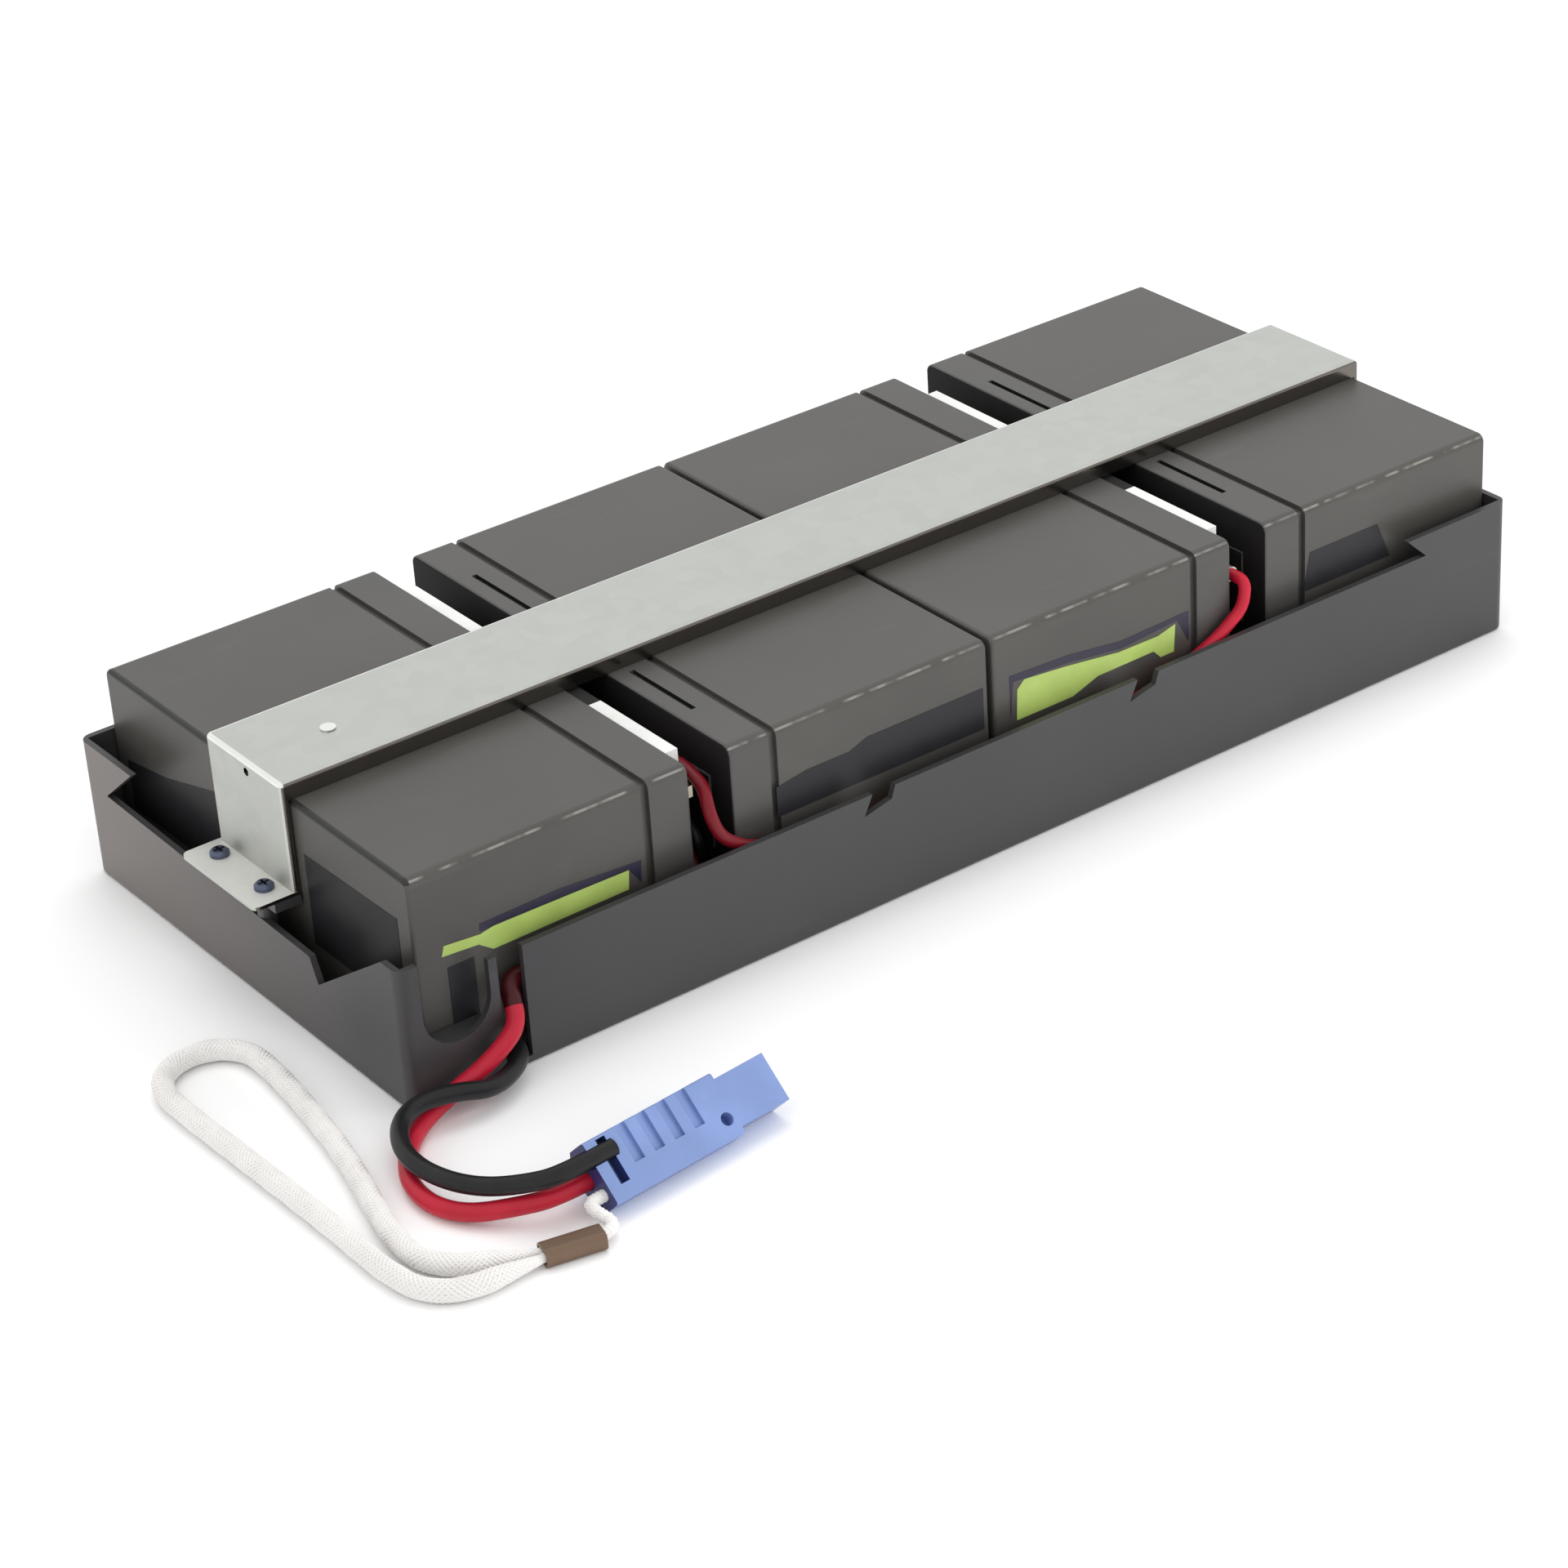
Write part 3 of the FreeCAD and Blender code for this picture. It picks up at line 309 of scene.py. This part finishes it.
plateSteel = zincSheet("plateSteel", plateLook)
footSteel = zincSheet("footSteel", footLook)
flangeShadeSteel = zincSheet("flangeShadeSteel", flangeShadeLook)
screwSteel = zincSheet("screwSteel", screwLook)
bladeMetal = zincSheet("bladeMetal", bladeLook)
contactMetal = zincSheet("contactMetal", contactLook)
crimpMetal = zincSheet("crimpMetal", crimpLook)


# wire insulation: smooth skin with a faint drawn texture and dust
# painted shade darkens the red wire inside the tray towards the cable end

insulation = {
    "dustScale": 90.0,
    "dustDetail": 5.0,
    "dustPlaces": (0.35, 0.75),
    "cleanTone": 0.92,
    "drawnScale": 900.0,
    "drawnDetail": 2.0,
    "drawnRelief": 0.08,
    "smoother": 0.07,
    "rougher": 0.1,
    "gloss": 0.3,
}


def wireSkin(name, look):
    material, tree, shader, coords = newMaterial(name)
    dust = noiseAt(tree, coords, insulation["dustScale"], insulation["dustDetail"])
    shares = (insulation["cleanTone"], look["dusty"])
    color = tones(tree, dust, look["color"], list(zip(insulation["dustPlaces"], shares)))
    # painted shade on the part inside the look's limits
    if look.get("paintedShadeLimits"):
        paintedShadeColor = shade(look["color"], look["paintedShadeShare"])
        color = mixColor(tree, insideOf(tree, coords, look["paintedShadeLimits"]), color, paintedShadeColor)
    drawn = noiseAt(tree, coords, insulation["drawnScale"], insulation["drawnDetail"])
    smoothest = look["roughness"] - insulation["smoother"]
    roughest = look["roughness"] + insulation["rougher"]
    wireUp(tree, shader, {
        "Base Color": color,
        "Roughness": rangeOf(tree, dust, smoothest, roughest),
        "Normal": bumpFrom(tree, drawn, insulation["drawnRelief"], fineRelief),
    })
    shader.inputs["Specular IOR Level"].default_value = insulation["gloss"]
    return material


redWireLook = {"color": (0.50, 0.012, 0.034), "dusty": 1.12, "roughness": 0.36}
blackWireLook = {"color": (0.008, 0.008, 0.009), "dusty": 1.8, "roughness": 0.34}
# painted shade: the jumper and the red lead inside are darker for x below -0.06
redJumperLook = {**redWireLook, "paintedShadeLimits": [("X", "LESS_THAN", -0.06)], "paintedShadeShare": 0.34}
redInsideLook = {**redJumperLook, "paintedShadeShare": 0.1}
redSkin = wireSkin("redSkin", redWireLook)
redJumperSkin = wireSkin("redJumperSkin", redJumperLook)
redInsideSkin = wireSkin("redInsideSkin", redInsideLook)
blackSkin = wireSkin("blackSkin", blackWireLook)


# dense white foam with painted shadow under and beside the channel's front half, and braided cord

softSurface = {
    "soilDetail": 5.0,
    "soilPlaces": (0.35, 0.8),
    "darkTone": 0.03,
    "poreDetail": 3.0,
    "poreDepth": 0.0003,
    "roughness": 0.85,
    "gloss": 0.2,
}


def softWhite(name, look):
    material, tree, shader, coords = newMaterial(name)
    soil = noiseAt(tree, coords, look["soilScale"], softSurface["soilDetail"])
    color = ramp(tree, soil, list(zip(softSurface["soilPlaces"], (look["color"], look["soiled"]))))
    # painted shadow on the stretch given by the look's dark limits
    if look.get("dark"):
        darkColor = shade(look["color"], softSurface["darkTone"])
        color = mixColor(tree, insideOf(tree, coords, look["dark"]), color, darkColor)
    pores = noiseAt(tree, coords, look["poreScale"], softSurface["poreDetail"])
    wireUp(tree, shader, {
        "Base Color": color,
        "Normal": bumpFrom(tree, pores, look["pores"], softSurface["poreDepth"]),
    })
    shader.inputs["Roughness"].default_value = softSurface["roughness"]
    shader.inputs["Specular IOR Level"].default_value = softSurface["gloss"]
    return material


# foam: the dark limits give the painted shadow of the channel's flange on the strips' front half
foamLook = {"color": (0.86, 0.86, 0.84), "soiled": (0.72, 0.72, 0.70), "soilScale": 40.0,
            "poreScale": 1600.0, "pores": 0.5,
            "dark": [("Y", "GREATER_THAN", -0.033), ("Y", "LESS_THAN", 0.0)]}
cordLook = {"color": (0.90, 0.885, 0.87), "soiled": (0.80, 0.775, 0.75), "soilScale": 30.0,
            "poreScale": 5000.0, "pores": 0.3}
foamWhite = softWhite("foamWhite", foamLook)
cordWhite = softWhite("cordWhite", cordLook)


# film of the colour fields, printed ones and painted shade

film = {
    "mottleScale": 120.0,
    "mottleDetail": 4.0,
    "mottleTones": [(0.35, 0.94), (0.7, 1.05)],
    "smoothest": 0.32,
    "roughest": 0.46,
    "grainScale": 1500.0,
    "grainDetail": 2.0,
    "grain": 0.05,
}


def printAndShadeFilm(name, look):
    material, tree, shader, coords = newMaterial(name)
    mottle = noiseAt(tree, coords, film["mottleScale"], film["mottleDetail"])
    grain = noiseAt(tree, coords, film["grainScale"], film["grainDetail"])
    wireUp(tree, shader, {
        "Base Color": tones(tree, mottle, look["color"], film["mottleTones"]),
        "Roughness": rangeOf(tree, mottle, film["smoothest"], film["roughest"]),
        "Normal": bumpFrom(tree, grain, film["grain"], fineRelief),
    })
    shader.inputs["Specular IOR Level"].default_value = look.get("gloss", plainGloss)
    return material


limeField = printAndShadeFilm("limeField", {"color": (0.41, 0.55, 0.135)})
violetField = printAndShadeFilm("violetField", {"color": (0.020, 0.016, 0.038)})
darkField = printAndShadeFilm("darkField", {"color": (0.021, 0.021, 0.024), "gloss": 0.3})
# painted shade for the near faces of the first blocks
nearField = printAndShadeFilm("nearField", {"color": (0.017, 0.017, 0.019), "gloss": 0.14})
print("materials ready")


# CAD nodes that keep their shape, some with a second finish on chosen faces

facing = 0.8  # a normal past this share looks along the axis
square = 0.9
tilted = 0.2
nearlyLevel = 0.97
barelySideways = 0.05
places = {  # metres
    "endWallX": -0.226,
    "footTopZ": 0.06,
    "plateLowZ": 0.045,
    "foldLowZ": 0.0797,
    "plugRearX": -0.2,
}
lidsFacingFar = (1, 3)  # these lids look along +X into their gap, the others along -X
blackWires = ("jumper_front_1_2", "jumper_front_3_4", "jumper_back_2_1", "jumper_back_4_3",
              "jumper_row_to_row", "jumper_back_3_2", "black_lead_inside")


def finishNode(name, material):
    slots = nodes[name].data.materials
    slots.clear()
    slots.append(material)


def finishPart(name, material, chosen):
    data = nodes[name].data
    if material.name not in data.materials:
        data.materials.append(material)
    slot = data.materials.find(material.name)
    for polygon in data.polygons:
        if chosen(polygon.normal, polygon.center):
            polygon.material_index = slot


finishNode("tray", trayPlastic)
finishPart("tray", endWallPlastic,
           lambda normal, center: normal.x < -facing and center.x < places["endWallX"])
finishNode("hold_down_channel", zincSteel)
# painted shade on the channel's flanges, the faces that look along Y
finishPart("hold_down_channel", flangeShadeSteel,
           lambda normal, center: abs(normal.y) > facing)
finishPart("hold_down_channel", footSteel,
           lambda normal, center: normal.z > facing and center.z < places["footTopZ"])
finishPart("hold_down_channel", plateSteel,
           lambda normal, center: normal.x < -square and center.z > places["plateLowZ"])
# painted highlight on the channel's folds and the faces above the fold height
finishPart("hold_down_channel", foldHighlightSteel,
           lambda normal, center: tilted < normal.z < nearlyLevel and abs(normal.x) > tilted)
finishPart("hold_down_channel", foldHighlightSteel,
           lambda normal, center: barelySideways < normal.y < square and normal.z > tilted)
finishPart("hold_down_channel", foldHighlightSteel,
           lambda normal, center: center.z > places["foldLowZ"])
finishNode("channel_screws", screwSteel)
for row in rowNames:
    for number in blockNumbers:
        finishNode(f"battery_case_{row}_{number}", casePlastic)
        if number == blockNumbers[0]:
            finishPart(f"battery_case_{row}_{number}", nearCasePlastic,
                       lambda normal, center: normal.x < -facing)
        finishNode(f"battery_lid_{row}_{number}", lidPlastic)
        # painted shade on the lid faces that look into their gap
        lean = 1 if number in lidsFacingFar else -1
        finishPart(f"battery_lid_{row}_{number}", gapShadePlastic,
                   lambda normal, center: normal.x * lean > facing)
        finishNode(f"terminals_{row}_{number}", bladeMetal)
        finishNode(f"receptacles_{row}_{number}", bladeMetal)
for name in ("gap_strip_near", "gap_strip_far"):
    finishNode(name, foamWhite)
for name in blackWires:
    finishNode(name, blackSkin)
finishNode("jumper_front_2_3", redJumperSkin)
finishNode("red_lead_inside", redInsideSkin)
finishNode("connector_housing", plugPlastic)
# painted shade on the connector's rear face
finishPart("connector_housing", plugRearShade,
           lambda normal, center: normal.x < -square and center.x < places["plugRearX"])
finishNode("connector_contacts", contactMetal)
finishNode("cord_ferrule", crimpMetal)
print("CAD nodes finished")


# piece helpers

curveSteps = {"along": 10, "round": 6}


def linkPiece(name, data):
    piece = bpy.data.objects.new(name, data)
    bpy.context.scene.collection.objects.link(piece)
    return piece


def routeCurve(name, points, thick=0.0):
    curve = bpy.data.curves.new(name, "CURVE")
    curve.dimensions = "3D"
    spline = curve.splines.new("NURBS")
    spline.points.add(len(points) - 1)
    for point, place in zip(spline.points, points):
        point.co = (*(value / mmPerMetre for value in place), 1.0)
    spline.order_u = 3
    spline.use_endpoint_u = True
    spline.resolution_u = curveSteps["along"]
    curve.bevel_depth = thick / 2
    curve.bevel_resolution = curveSteps["round"]
    curve.use_fill_caps = True
    return linkPiece(name, curve)


# free leads, route points in millimetres from the tray's slot to the connector

leads = {
    "diameter": 0.0058,
    "red": {
        "route": [(-189.3, -96.5, 22.5), (-190.43, -99.76, 18.88), (-197.4, -102.4, 15.2),
                  (-205.6, -102.2, 10.4), (-214.6, -101.4, 6.4), (-224.4, -102.6, 3.9),
                  (-234.3, -108.1, 3.1), (-243.2, -117.4, 3.1), (-249.6, -129.2, 3.1),
                  (-250.6, -142, 3.1), (-245.6, -153.6, 3.6), (-235.4, -163.6, 6.6),
                  (-223.36, -169.36, 7.83), (-204.46, -167.47, 7.83)],
        "length": 0.151,
    },
    "black": {
        "route": [(-189.3, -96.5, 7), (-191.44, -102.1, 6.8), (-206.4, -109.8, 7.2),
                  (-218.2, -107.6, 10.4), (-229.4, -104.6, 10.4), (-239.2, -108.6, 9.8),
                  (-245.6, -118.6, 9.5), (-247.6, -130.4, 9.4), (-245, -143.4, 9.6),
                  (-239.8, -155, 11), (-232, -164.6, 13.6), (-223.19, -171.12, 15.96),
                  (-204.28, -169.23, 15.96)],
        "length": 0.147,
    },
}
for color, skin in (("red", redSkin), ("black", blackSkin)):
    spec = leads[color]
    lead = routeCurve(f"{color}FreeLead", spec["route"], leads["diameter"])
    lead.data.materials.append(skin)
    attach(lead, "root")
    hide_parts(f"{color}_lead")
print("leads laid")


# braided pull cord: strands that wind both ways round the route and pass over and under each other

pullCord = {
    "strandsEachWay": 12,
    "strandSides": 6,
    "coreSides": 12,
    "strandShare": 0.11,  # shares of the cord's diameter
    "pitchShare": 2.6,
    "weaveShare": 0.014,
    "step": 0.0014,
    "endShare": 0.4,  # how thick a gathered end stays
    "leastTaper": 0.00001,  # keeps an end with no taper from dividing by nothing
    "link": {
        "route": [(-208.74, -174.93, 6.34), (-214.21, -175.48, 6.34), (-219.68, -176.03, 6.34),
                  (-215.05, -189.16, 3.1), (-226.79, -186.66, 3.1)],
        "diameter": 0.0042,
        "held": 0.0,
        "taper": 0.0,
        "length": 0.030,
    },
    "loop": {
        "route": [(-238.38, -185.37, 3.1), (-254.62, -184.84, 3.7), (-263.61, -184.55, 4.03),
                  (-271.5, -180.3, 3.7), (-276.4, -172.7, 3.7), (-278.2, -158.6, 3.7),
                  (-278, -142, 3.7), (-278.4, -121, 3.7), (-279.2, -98, 3.7),
                  (-280, -76, 3.7), (-280.8, -55, 3.7), (-280.6, -36.9, 3.7),
                  (-271.2, -27.5, 3.7), (-258, -27.5, 3.7), (-248.6, -36.9, 3.7),
                  (-249.4, -56, 3.7), (-251.8, -76, 3.7), (-254.8, -96, 3.7),
                  (-258.8, -114.5, 3.7), (-263, -130, 3.7), (-266.8, -145, 3.7),
                  (-268.5, -159.3, 3.7), (-265.6, -167.8, 3.7), (-259.44, -174.38, 3.96),
                  (-252.96, -177.01, 3.7), (-237.9, -183.12, 3.1)],
        "diameter": 0.0072,
        "held": 0.003,
        "taper": 0.016,
        "length": 0.379,
    },
}


def braidTree():
    tree = bpy.data.node_groups.new("cordBraid", "GeometryNodeTree")
    face = tree.interface
    face.new_socket("Route", in_out="INPUT", socket_type="NodeSocketGeometry")
    for label in ("Radius", "Pitch", "Weave", "Strand Thick", "Step", "Held", "Taper"):
        face.new_socket(label, in_out="INPUT", socket_type="NodeSocketFloat")
    face.new_socket("Strands Each Way", in_out="INPUT", socket_type="NodeSocketInt")
    face.new_socket("Finish", in_out="INPUT", socket_type="NodeSocketMaterial")
    face.new_socket("Cord", in_out="OUTPUT", socket_type="NodeSocketGeometry")
    given = addNode(tree, "NodeGroupInput").outputs
    leave = addNode(tree, "NodeGroupOutput")
    join = tree.links.new

    def maths(operation, *values):
        node = addNode(tree, "ShaderNodeMath", {"operation": operation})
        for socket, value in zip(node.inputs, values):
            if isinstance(value, (int, float)):
                socket.default_value = value
            else:
                join(value, socket)
        return node.outputs[0]

    def scaled(vector, factor):
        node = addNode(tree, "ShaderNodeVectorMath", {"operation": "SCALE"})
        join(vector, node.inputs["Vector"])
        join(factor, node.inputs["Scale"])
        return node.outputs["Vector"]

    def combined(operation, first, second):
        node = addNode(tree, "ShaderNodeVectorMath", {"operation": operation})
        join(first, node.inputs[0])
        join(second, node.inputs[1])
        return node.outputs["Vector"]

    def tube(curve, radius, sides, share):
        ring = addNode(tree, "GeometryNodeCurvePrimitiveCircle", inputs={"Resolution": sides})
        join(radius, ring.inputs["Radius"])
        skin = addNode(tree, "GeometryNodeCurveToMesh", inputs={"Fill Caps": True})
        join(curve, skin.inputs["Curve"])
        join(share, skin.inputs["Scale"])
        join(ring.outputs["Curve"], skin.inputs["Profile Curve"])
        return skin.outputs["Mesh"]

    # even steps along the route, gathered towards both ends
    even = addNode(tree, "GeometryNodeResampleCurve", {"mode": "LENGTH"})
    join(given["Route"], even.inputs["Curve"])
    join(given["Step"], even.inputs["Length"])
    along = addNode(tree, "GeometryNodeSplineParameter").outputs["Length"]
    whole = addNode(tree, "GeometryNodeSplineLength").outputs["Length"]
    nearEnd = maths("MINIMUM", along, maths("SUBTRACT", whole, along))
    swell = addNode(tree, "ShaderNodeMapRange",
                    inputs={"To Min": pullCord["endShare"], "To Max": 1.0})
    join(nearEnd, swell.inputs["Value"])
    join(given["Held"], swell.inputs["From Min"])
    join(maths("ADD", given["Held"], given["Taper"]), swell.inputs["From Max"])
    gathered = addNode(tree, "GeometryNodeSetCurveRadius")
    join(even.outputs["Curve"], gathered.inputs["Curve"])
    join(swell.outputs["Result"], gathered.inputs["Radius"])
    wide = addNode(tree, "GeometryNodeInputRadius").outputs["Radius"]

    # one copy of the route for each strand, half of them wound the other way
    eachWay = given["Strands Each Way"]
    copies = addNode(tree, "GeometryNodeDuplicateElements", {"domain": "SPLINE"})
    join(gathered.outputs["Curve"], copies.inputs["Geometry"])
    join(maths("MULTIPLY", eachWay, 2), copies.inputs["Amount"])
    index = copies.outputs["Duplicate Index"]
    way = maths("SUBTRACT", maths("MULTIPLY", maths("LESS_THAN", index, eachWay), 2), 1)
    turns = maths("DIVIDE", maths("MULTIPLY", along, fullTurn), given["Pitch"])
    phase = maths("DIVIDE", maths("MULTIPLY", index, fullTurn), eachWay)
    angle = maths("ADD", maths("MULTIPLY", turns, way), phase)
    lift = maths("MULTIPLY", maths("COSINE", maths("MULTIPLY", turns, eachWay)), way)
    radius = maths("ADD", given["Radius"], maths("MULTIPLY", lift, given["Weave"]))
    radius = maths("MULTIPLY", radius, wide)
    normal = addNode(tree, "GeometryNodeInputNormal").outputs["Normal"]
    tangent = addNode(tree, "GeometryNodeInputTangent").outputs["Tangent"]
    side = combined("CROSS_PRODUCT", tangent, normal)
    outward = combined("ADD", scaled(normal, maths("MULTIPLY", maths("COSINE", angle), radius)),
                       scaled(side, maths("MULTIPLY", maths("SINE", angle), radius)))
    wound = addNode(tree, "GeometryNodeSetPosition")
    join(copies.outputs["Geometry"], wound.inputs["Geometry"])
    join(outward, wound.inputs["Offset"])

    strands = tube(wound.outputs["Geometry"], given["Strand Thick"], pullCord["strandSides"], wide)
    core = tube(gathered.outputs["Curve"], given["Radius"], pullCord["coreSides"], wide)
    both = addNode(tree, "GeometryNodeJoinGeometry")
    join(core, both.inputs["Geometry"])
    join(strands, both.inputs["Geometry"])
    real = addNode(tree, "GeometryNodeRealizeInstances")
    join(both.outputs["Geometry"], real.inputs["Geometry"])
    painted = addNode(tree, "GeometryNodeSetMaterial")
    join(real.outputs["Geometry"], painted.inputs["Geometry"])
    join(given["Finish"], painted.inputs["Material"])
    join(painted.outputs["Geometry"], leave.inputs["Cord"])
    return tree


def plainMesh(piece):
    bpy.context.view_layer.update()
    return bpy.data.meshes.new_from_object(piece.evaluated_get(bpy.context.evaluated_depsgraph_get()))


def routePoints(guide):
    mesh = plainMesh(guide)
    points = [tuple(vertex.co) for vertex in mesh.vertices]
    bpy.data.meshes.remove(mesh)
    return points


def braidedCord(name, spec, tree):
    guide = routeCurve(f"{name}Route", spec["route"])
    guide.data.use_fill_caps = False
    path = routePoints(guide)
    modifier = guide.modifiers.new("braid", "NODES")
    modifier.node_group = tree
    strand = spec["diameter"] * pullCord["strandShare"] / 2
    weave = spec["diameter"] * pullCord["weaveShare"]
    values = {
        "Radius": spec["diameter"] / 2 - strand - weave,
        "Pitch": spec["diameter"] * pullCord["pitchShare"],
        "Weave": weave,
        "Strand Thick": strand,
        "Step": pullCord["step"],
        "Held": spec["held"],
        "Taper": spec["taper"] + pullCord["leastTaper"],
        "Strands Each Way": pullCord["strandsEachWay"],
        "Finish": cordWhite,
    }
    for item in tree.interface.items_tree:
        if item.in_out == "INPUT" and item.name in values:
            modifier[item.identifier] = values[item.name]
    mesh = plainMesh(guide)
    bpy.data.objects.remove(guide)
    for polygon in mesh.polygons:
        polygon.use_smooth = True
    cord = linkPiece(name, mesh)
    print(name, len(mesh.polygons), "faces")
    return cord, path


cordTree = braidTree()
for part, name in (("link", "pullCordLink"), ("loop", "pullCordLoop")):
    cord, path = braidedCord(name, pullCord[part], cordTree)
    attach(cord, "root")
    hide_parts(f"pull_cord_{part}")
print("pull cord braided")


# colour fields of thin film on the front faces of the front row, and painted shade of thin film on the
# near faces of the first blocks
# each outline gives the place along the face and the height, in millimetres

fields = {
    "thick": 0.00012,
    "lime": {
        1: [(-207, 43.4), (-194, 42.4), (-189, 38.8), (-139.3, 39.2), (-138.7, 45.8), (-163, 46.2),
            (-188, 46.6), (-193, 45.6), (-206, 46.8)],
        3: [(14.5, 40), (38, 40), (49, 43.6), (73, 43.8), (76, 40.6), (81.8, 40.6), (82.6, 50.6),
            (75, 48.8), (58, 49), (36, 52), (18, 53.8), (15, 51)],
    },
    "violet": {
        1: [(-193, 46.6), (-163, 46.4), (-138.7, 46), (-134.5, 40), (-134, 47.5), (-164, 49.6),
            (-193, 49.2)],
        3: [(12, 42), (13.5, 54.4), (37, 53), (59, 50), (83.5, 51.6), (88.5, 42), (88.5, 53.5),
            (59, 52.8), (37, 55.8), (12, 57)],
    },
    # dark fields 2 and 4 darken bands across the second and fourth front faces; field 5 is painted
    # shade on the first block's front face inside the front wall's U opening
    "dark": {
        2: [(-82, 42), (1, 42), (1, 57), (-46, 57), (-53, 54.4), (-70, 54.4), (-82, 52.6)],
        4: [(140, 42), (180, 42), (174, 56), (143, 56)],
        5: [(-205.5, 15), (-196, 15), (-196, 39), (-205.5, 39)],
    },
    # painted shade on the lower part of the first blocks' near faces
    "near": {
        6: [(-80, 24), (-27, 24), (-27, 56), (-80, 57)],
        7: [(22.8, 24), (86, 24), (86, 42), (60, 46), (22.8, 56)],
    },
}


def filmPiece(name, outline, material, faces):
    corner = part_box("battery_case_front_1")[0]
    if faces == "front":
        ground = Vector((0, corner.y, 0))
        spread = Vector((1, 0, 0))
        outward = Vector((0, -1, 0))
    else:
        ground = Vector((corner.x, 0, 0))
        spread = Vector((0, 1, 0))
        outward = Vector((-1, 0, 0))
    mesh = bmesh.new()
    low = [mesh.verts.new(ground + spread * (along / mmPerMetre) + Vector((0, 0, z / mmPerMetre)))
           for along, z in outline]
    face = mesh.faces.new(low)
    made = bmesh.ops.extrude_face_region(mesh, geom=[face])
    lifted = [item for item in made["geom"] if isinstance(item, bmesh.types.BMVert)]
    bmesh.ops.translate(mesh, verts=lifted, vec=outward * fields["thick"])
    bmesh.ops.recalc_face_normals(mesh, faces=mesh.faces)
    data = bpy.data.meshes.new(name)
    mesh.to_mesh(data)
    mesh.free()
    data.materials.append(material)
    piece = linkPiece(name, data)
    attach(piece, "root")


for tint, material, faces in (("lime", limeField, "front"), ("violet", violetField, "front"),
                              ("dark", darkField, "front"), ("near", nearField, "near")):
    for number, outline in fields[tint].items():
        filmPiece(f"{tint}Field{number}", outline, material, faces)
print("colour fields placed")


# floor, light and camera

floorPaint = {"reach": 6, "roughness": 0.9, "gloss": 0.1}
worldStrength = 1.0
softboxes = {
    "keyLight": {"place": (0.2, 0.5, 2.0), "target": (0, 0, 0.05), "size": 1.4, "power": 8.0},
    "fillLight": {"place": (1.0, -1.1, 0.5), "target": (0.1, -0.08, 0.05), "size": 0.8, "power": 6.0},
}
photoView = {
    "lens": 98.3,
    "sensor": 36.0,
    "shift": (-0.0043, 0.0007),
    "farClip": 50.0,
    "place": (-0.74212, -1.03409, 0.71363),
    "turn": (60.1615, 3.2564, -36.9904),  # degrees
}


def buildStage():
    reach = floorPaint["reach"]
    mesh = bpy.data.meshes.new("paleFloor")
    corners = [(-reach, -reach, 0), (reach, -reach, 0), (reach, reach, 0), (-reach, reach, 0)]
    mesh.from_pydata(corners, [], [(0, 1, 2, 3)])
    floor = linkPiece("paleFloor", mesh)
    material, _, shader, _ = newMaterial("paleFloorPaint")
    shader.inputs["Base Color"].default_value = white
    shader.inputs["Roughness"].default_value = floorPaint["roughness"]
    shader.inputs["Specular IOR Level"].default_value = floorPaint["gloss"]
    mesh.materials.append(material)

    world = bpy.data.worlds.new("softStudio")
    bpy.context.scene.world = world
    world.use_nodes = True
    light = world.node_tree.nodes["Background"]
    light.inputs["Color"].default_value = white
    light.inputs["Strength"].default_value = worldStrength


def addSoftbox(name, spec):
    data = bpy.data.lights.new(name, "AREA")
    data.shape = "DISK"
    data.size = spec["size"]
    data.energy = spec["power"]
    lamp = linkPiece(name, data)
    lamp.visible_glossy = False
    lamp.location = spec["place"]
    aim = Vector(spec["target"]) - Vector(spec["place"])
    lamp.rotation_euler = aim.to_track_quat("-Z", "Y").to_euler()


def addCamera():
    data = bpy.data.cameras.new("photoCamera")
    data.lens = photoView["lens"]
    data.sensor_width = photoView["sensor"]
    data.shift_x, data.shift_y = photoView["shift"]
    data.clip_end = photoView["farClip"]
    camera = linkPiece("photoCamera", data)
    camera.location = photoView["place"]
    camera.rotation_euler = tuple(math.radians(angle) for angle in photoView["turn"])
    bpy.context.scene.camera = camera


buildStage()
for name, spec in softboxes.items():
    addSoftbox(name, spec)
addCamera()
bpy.context.scene.view_settings.view_transform = "Standard"
print("stage set")

bpy.context.view_layer.update()
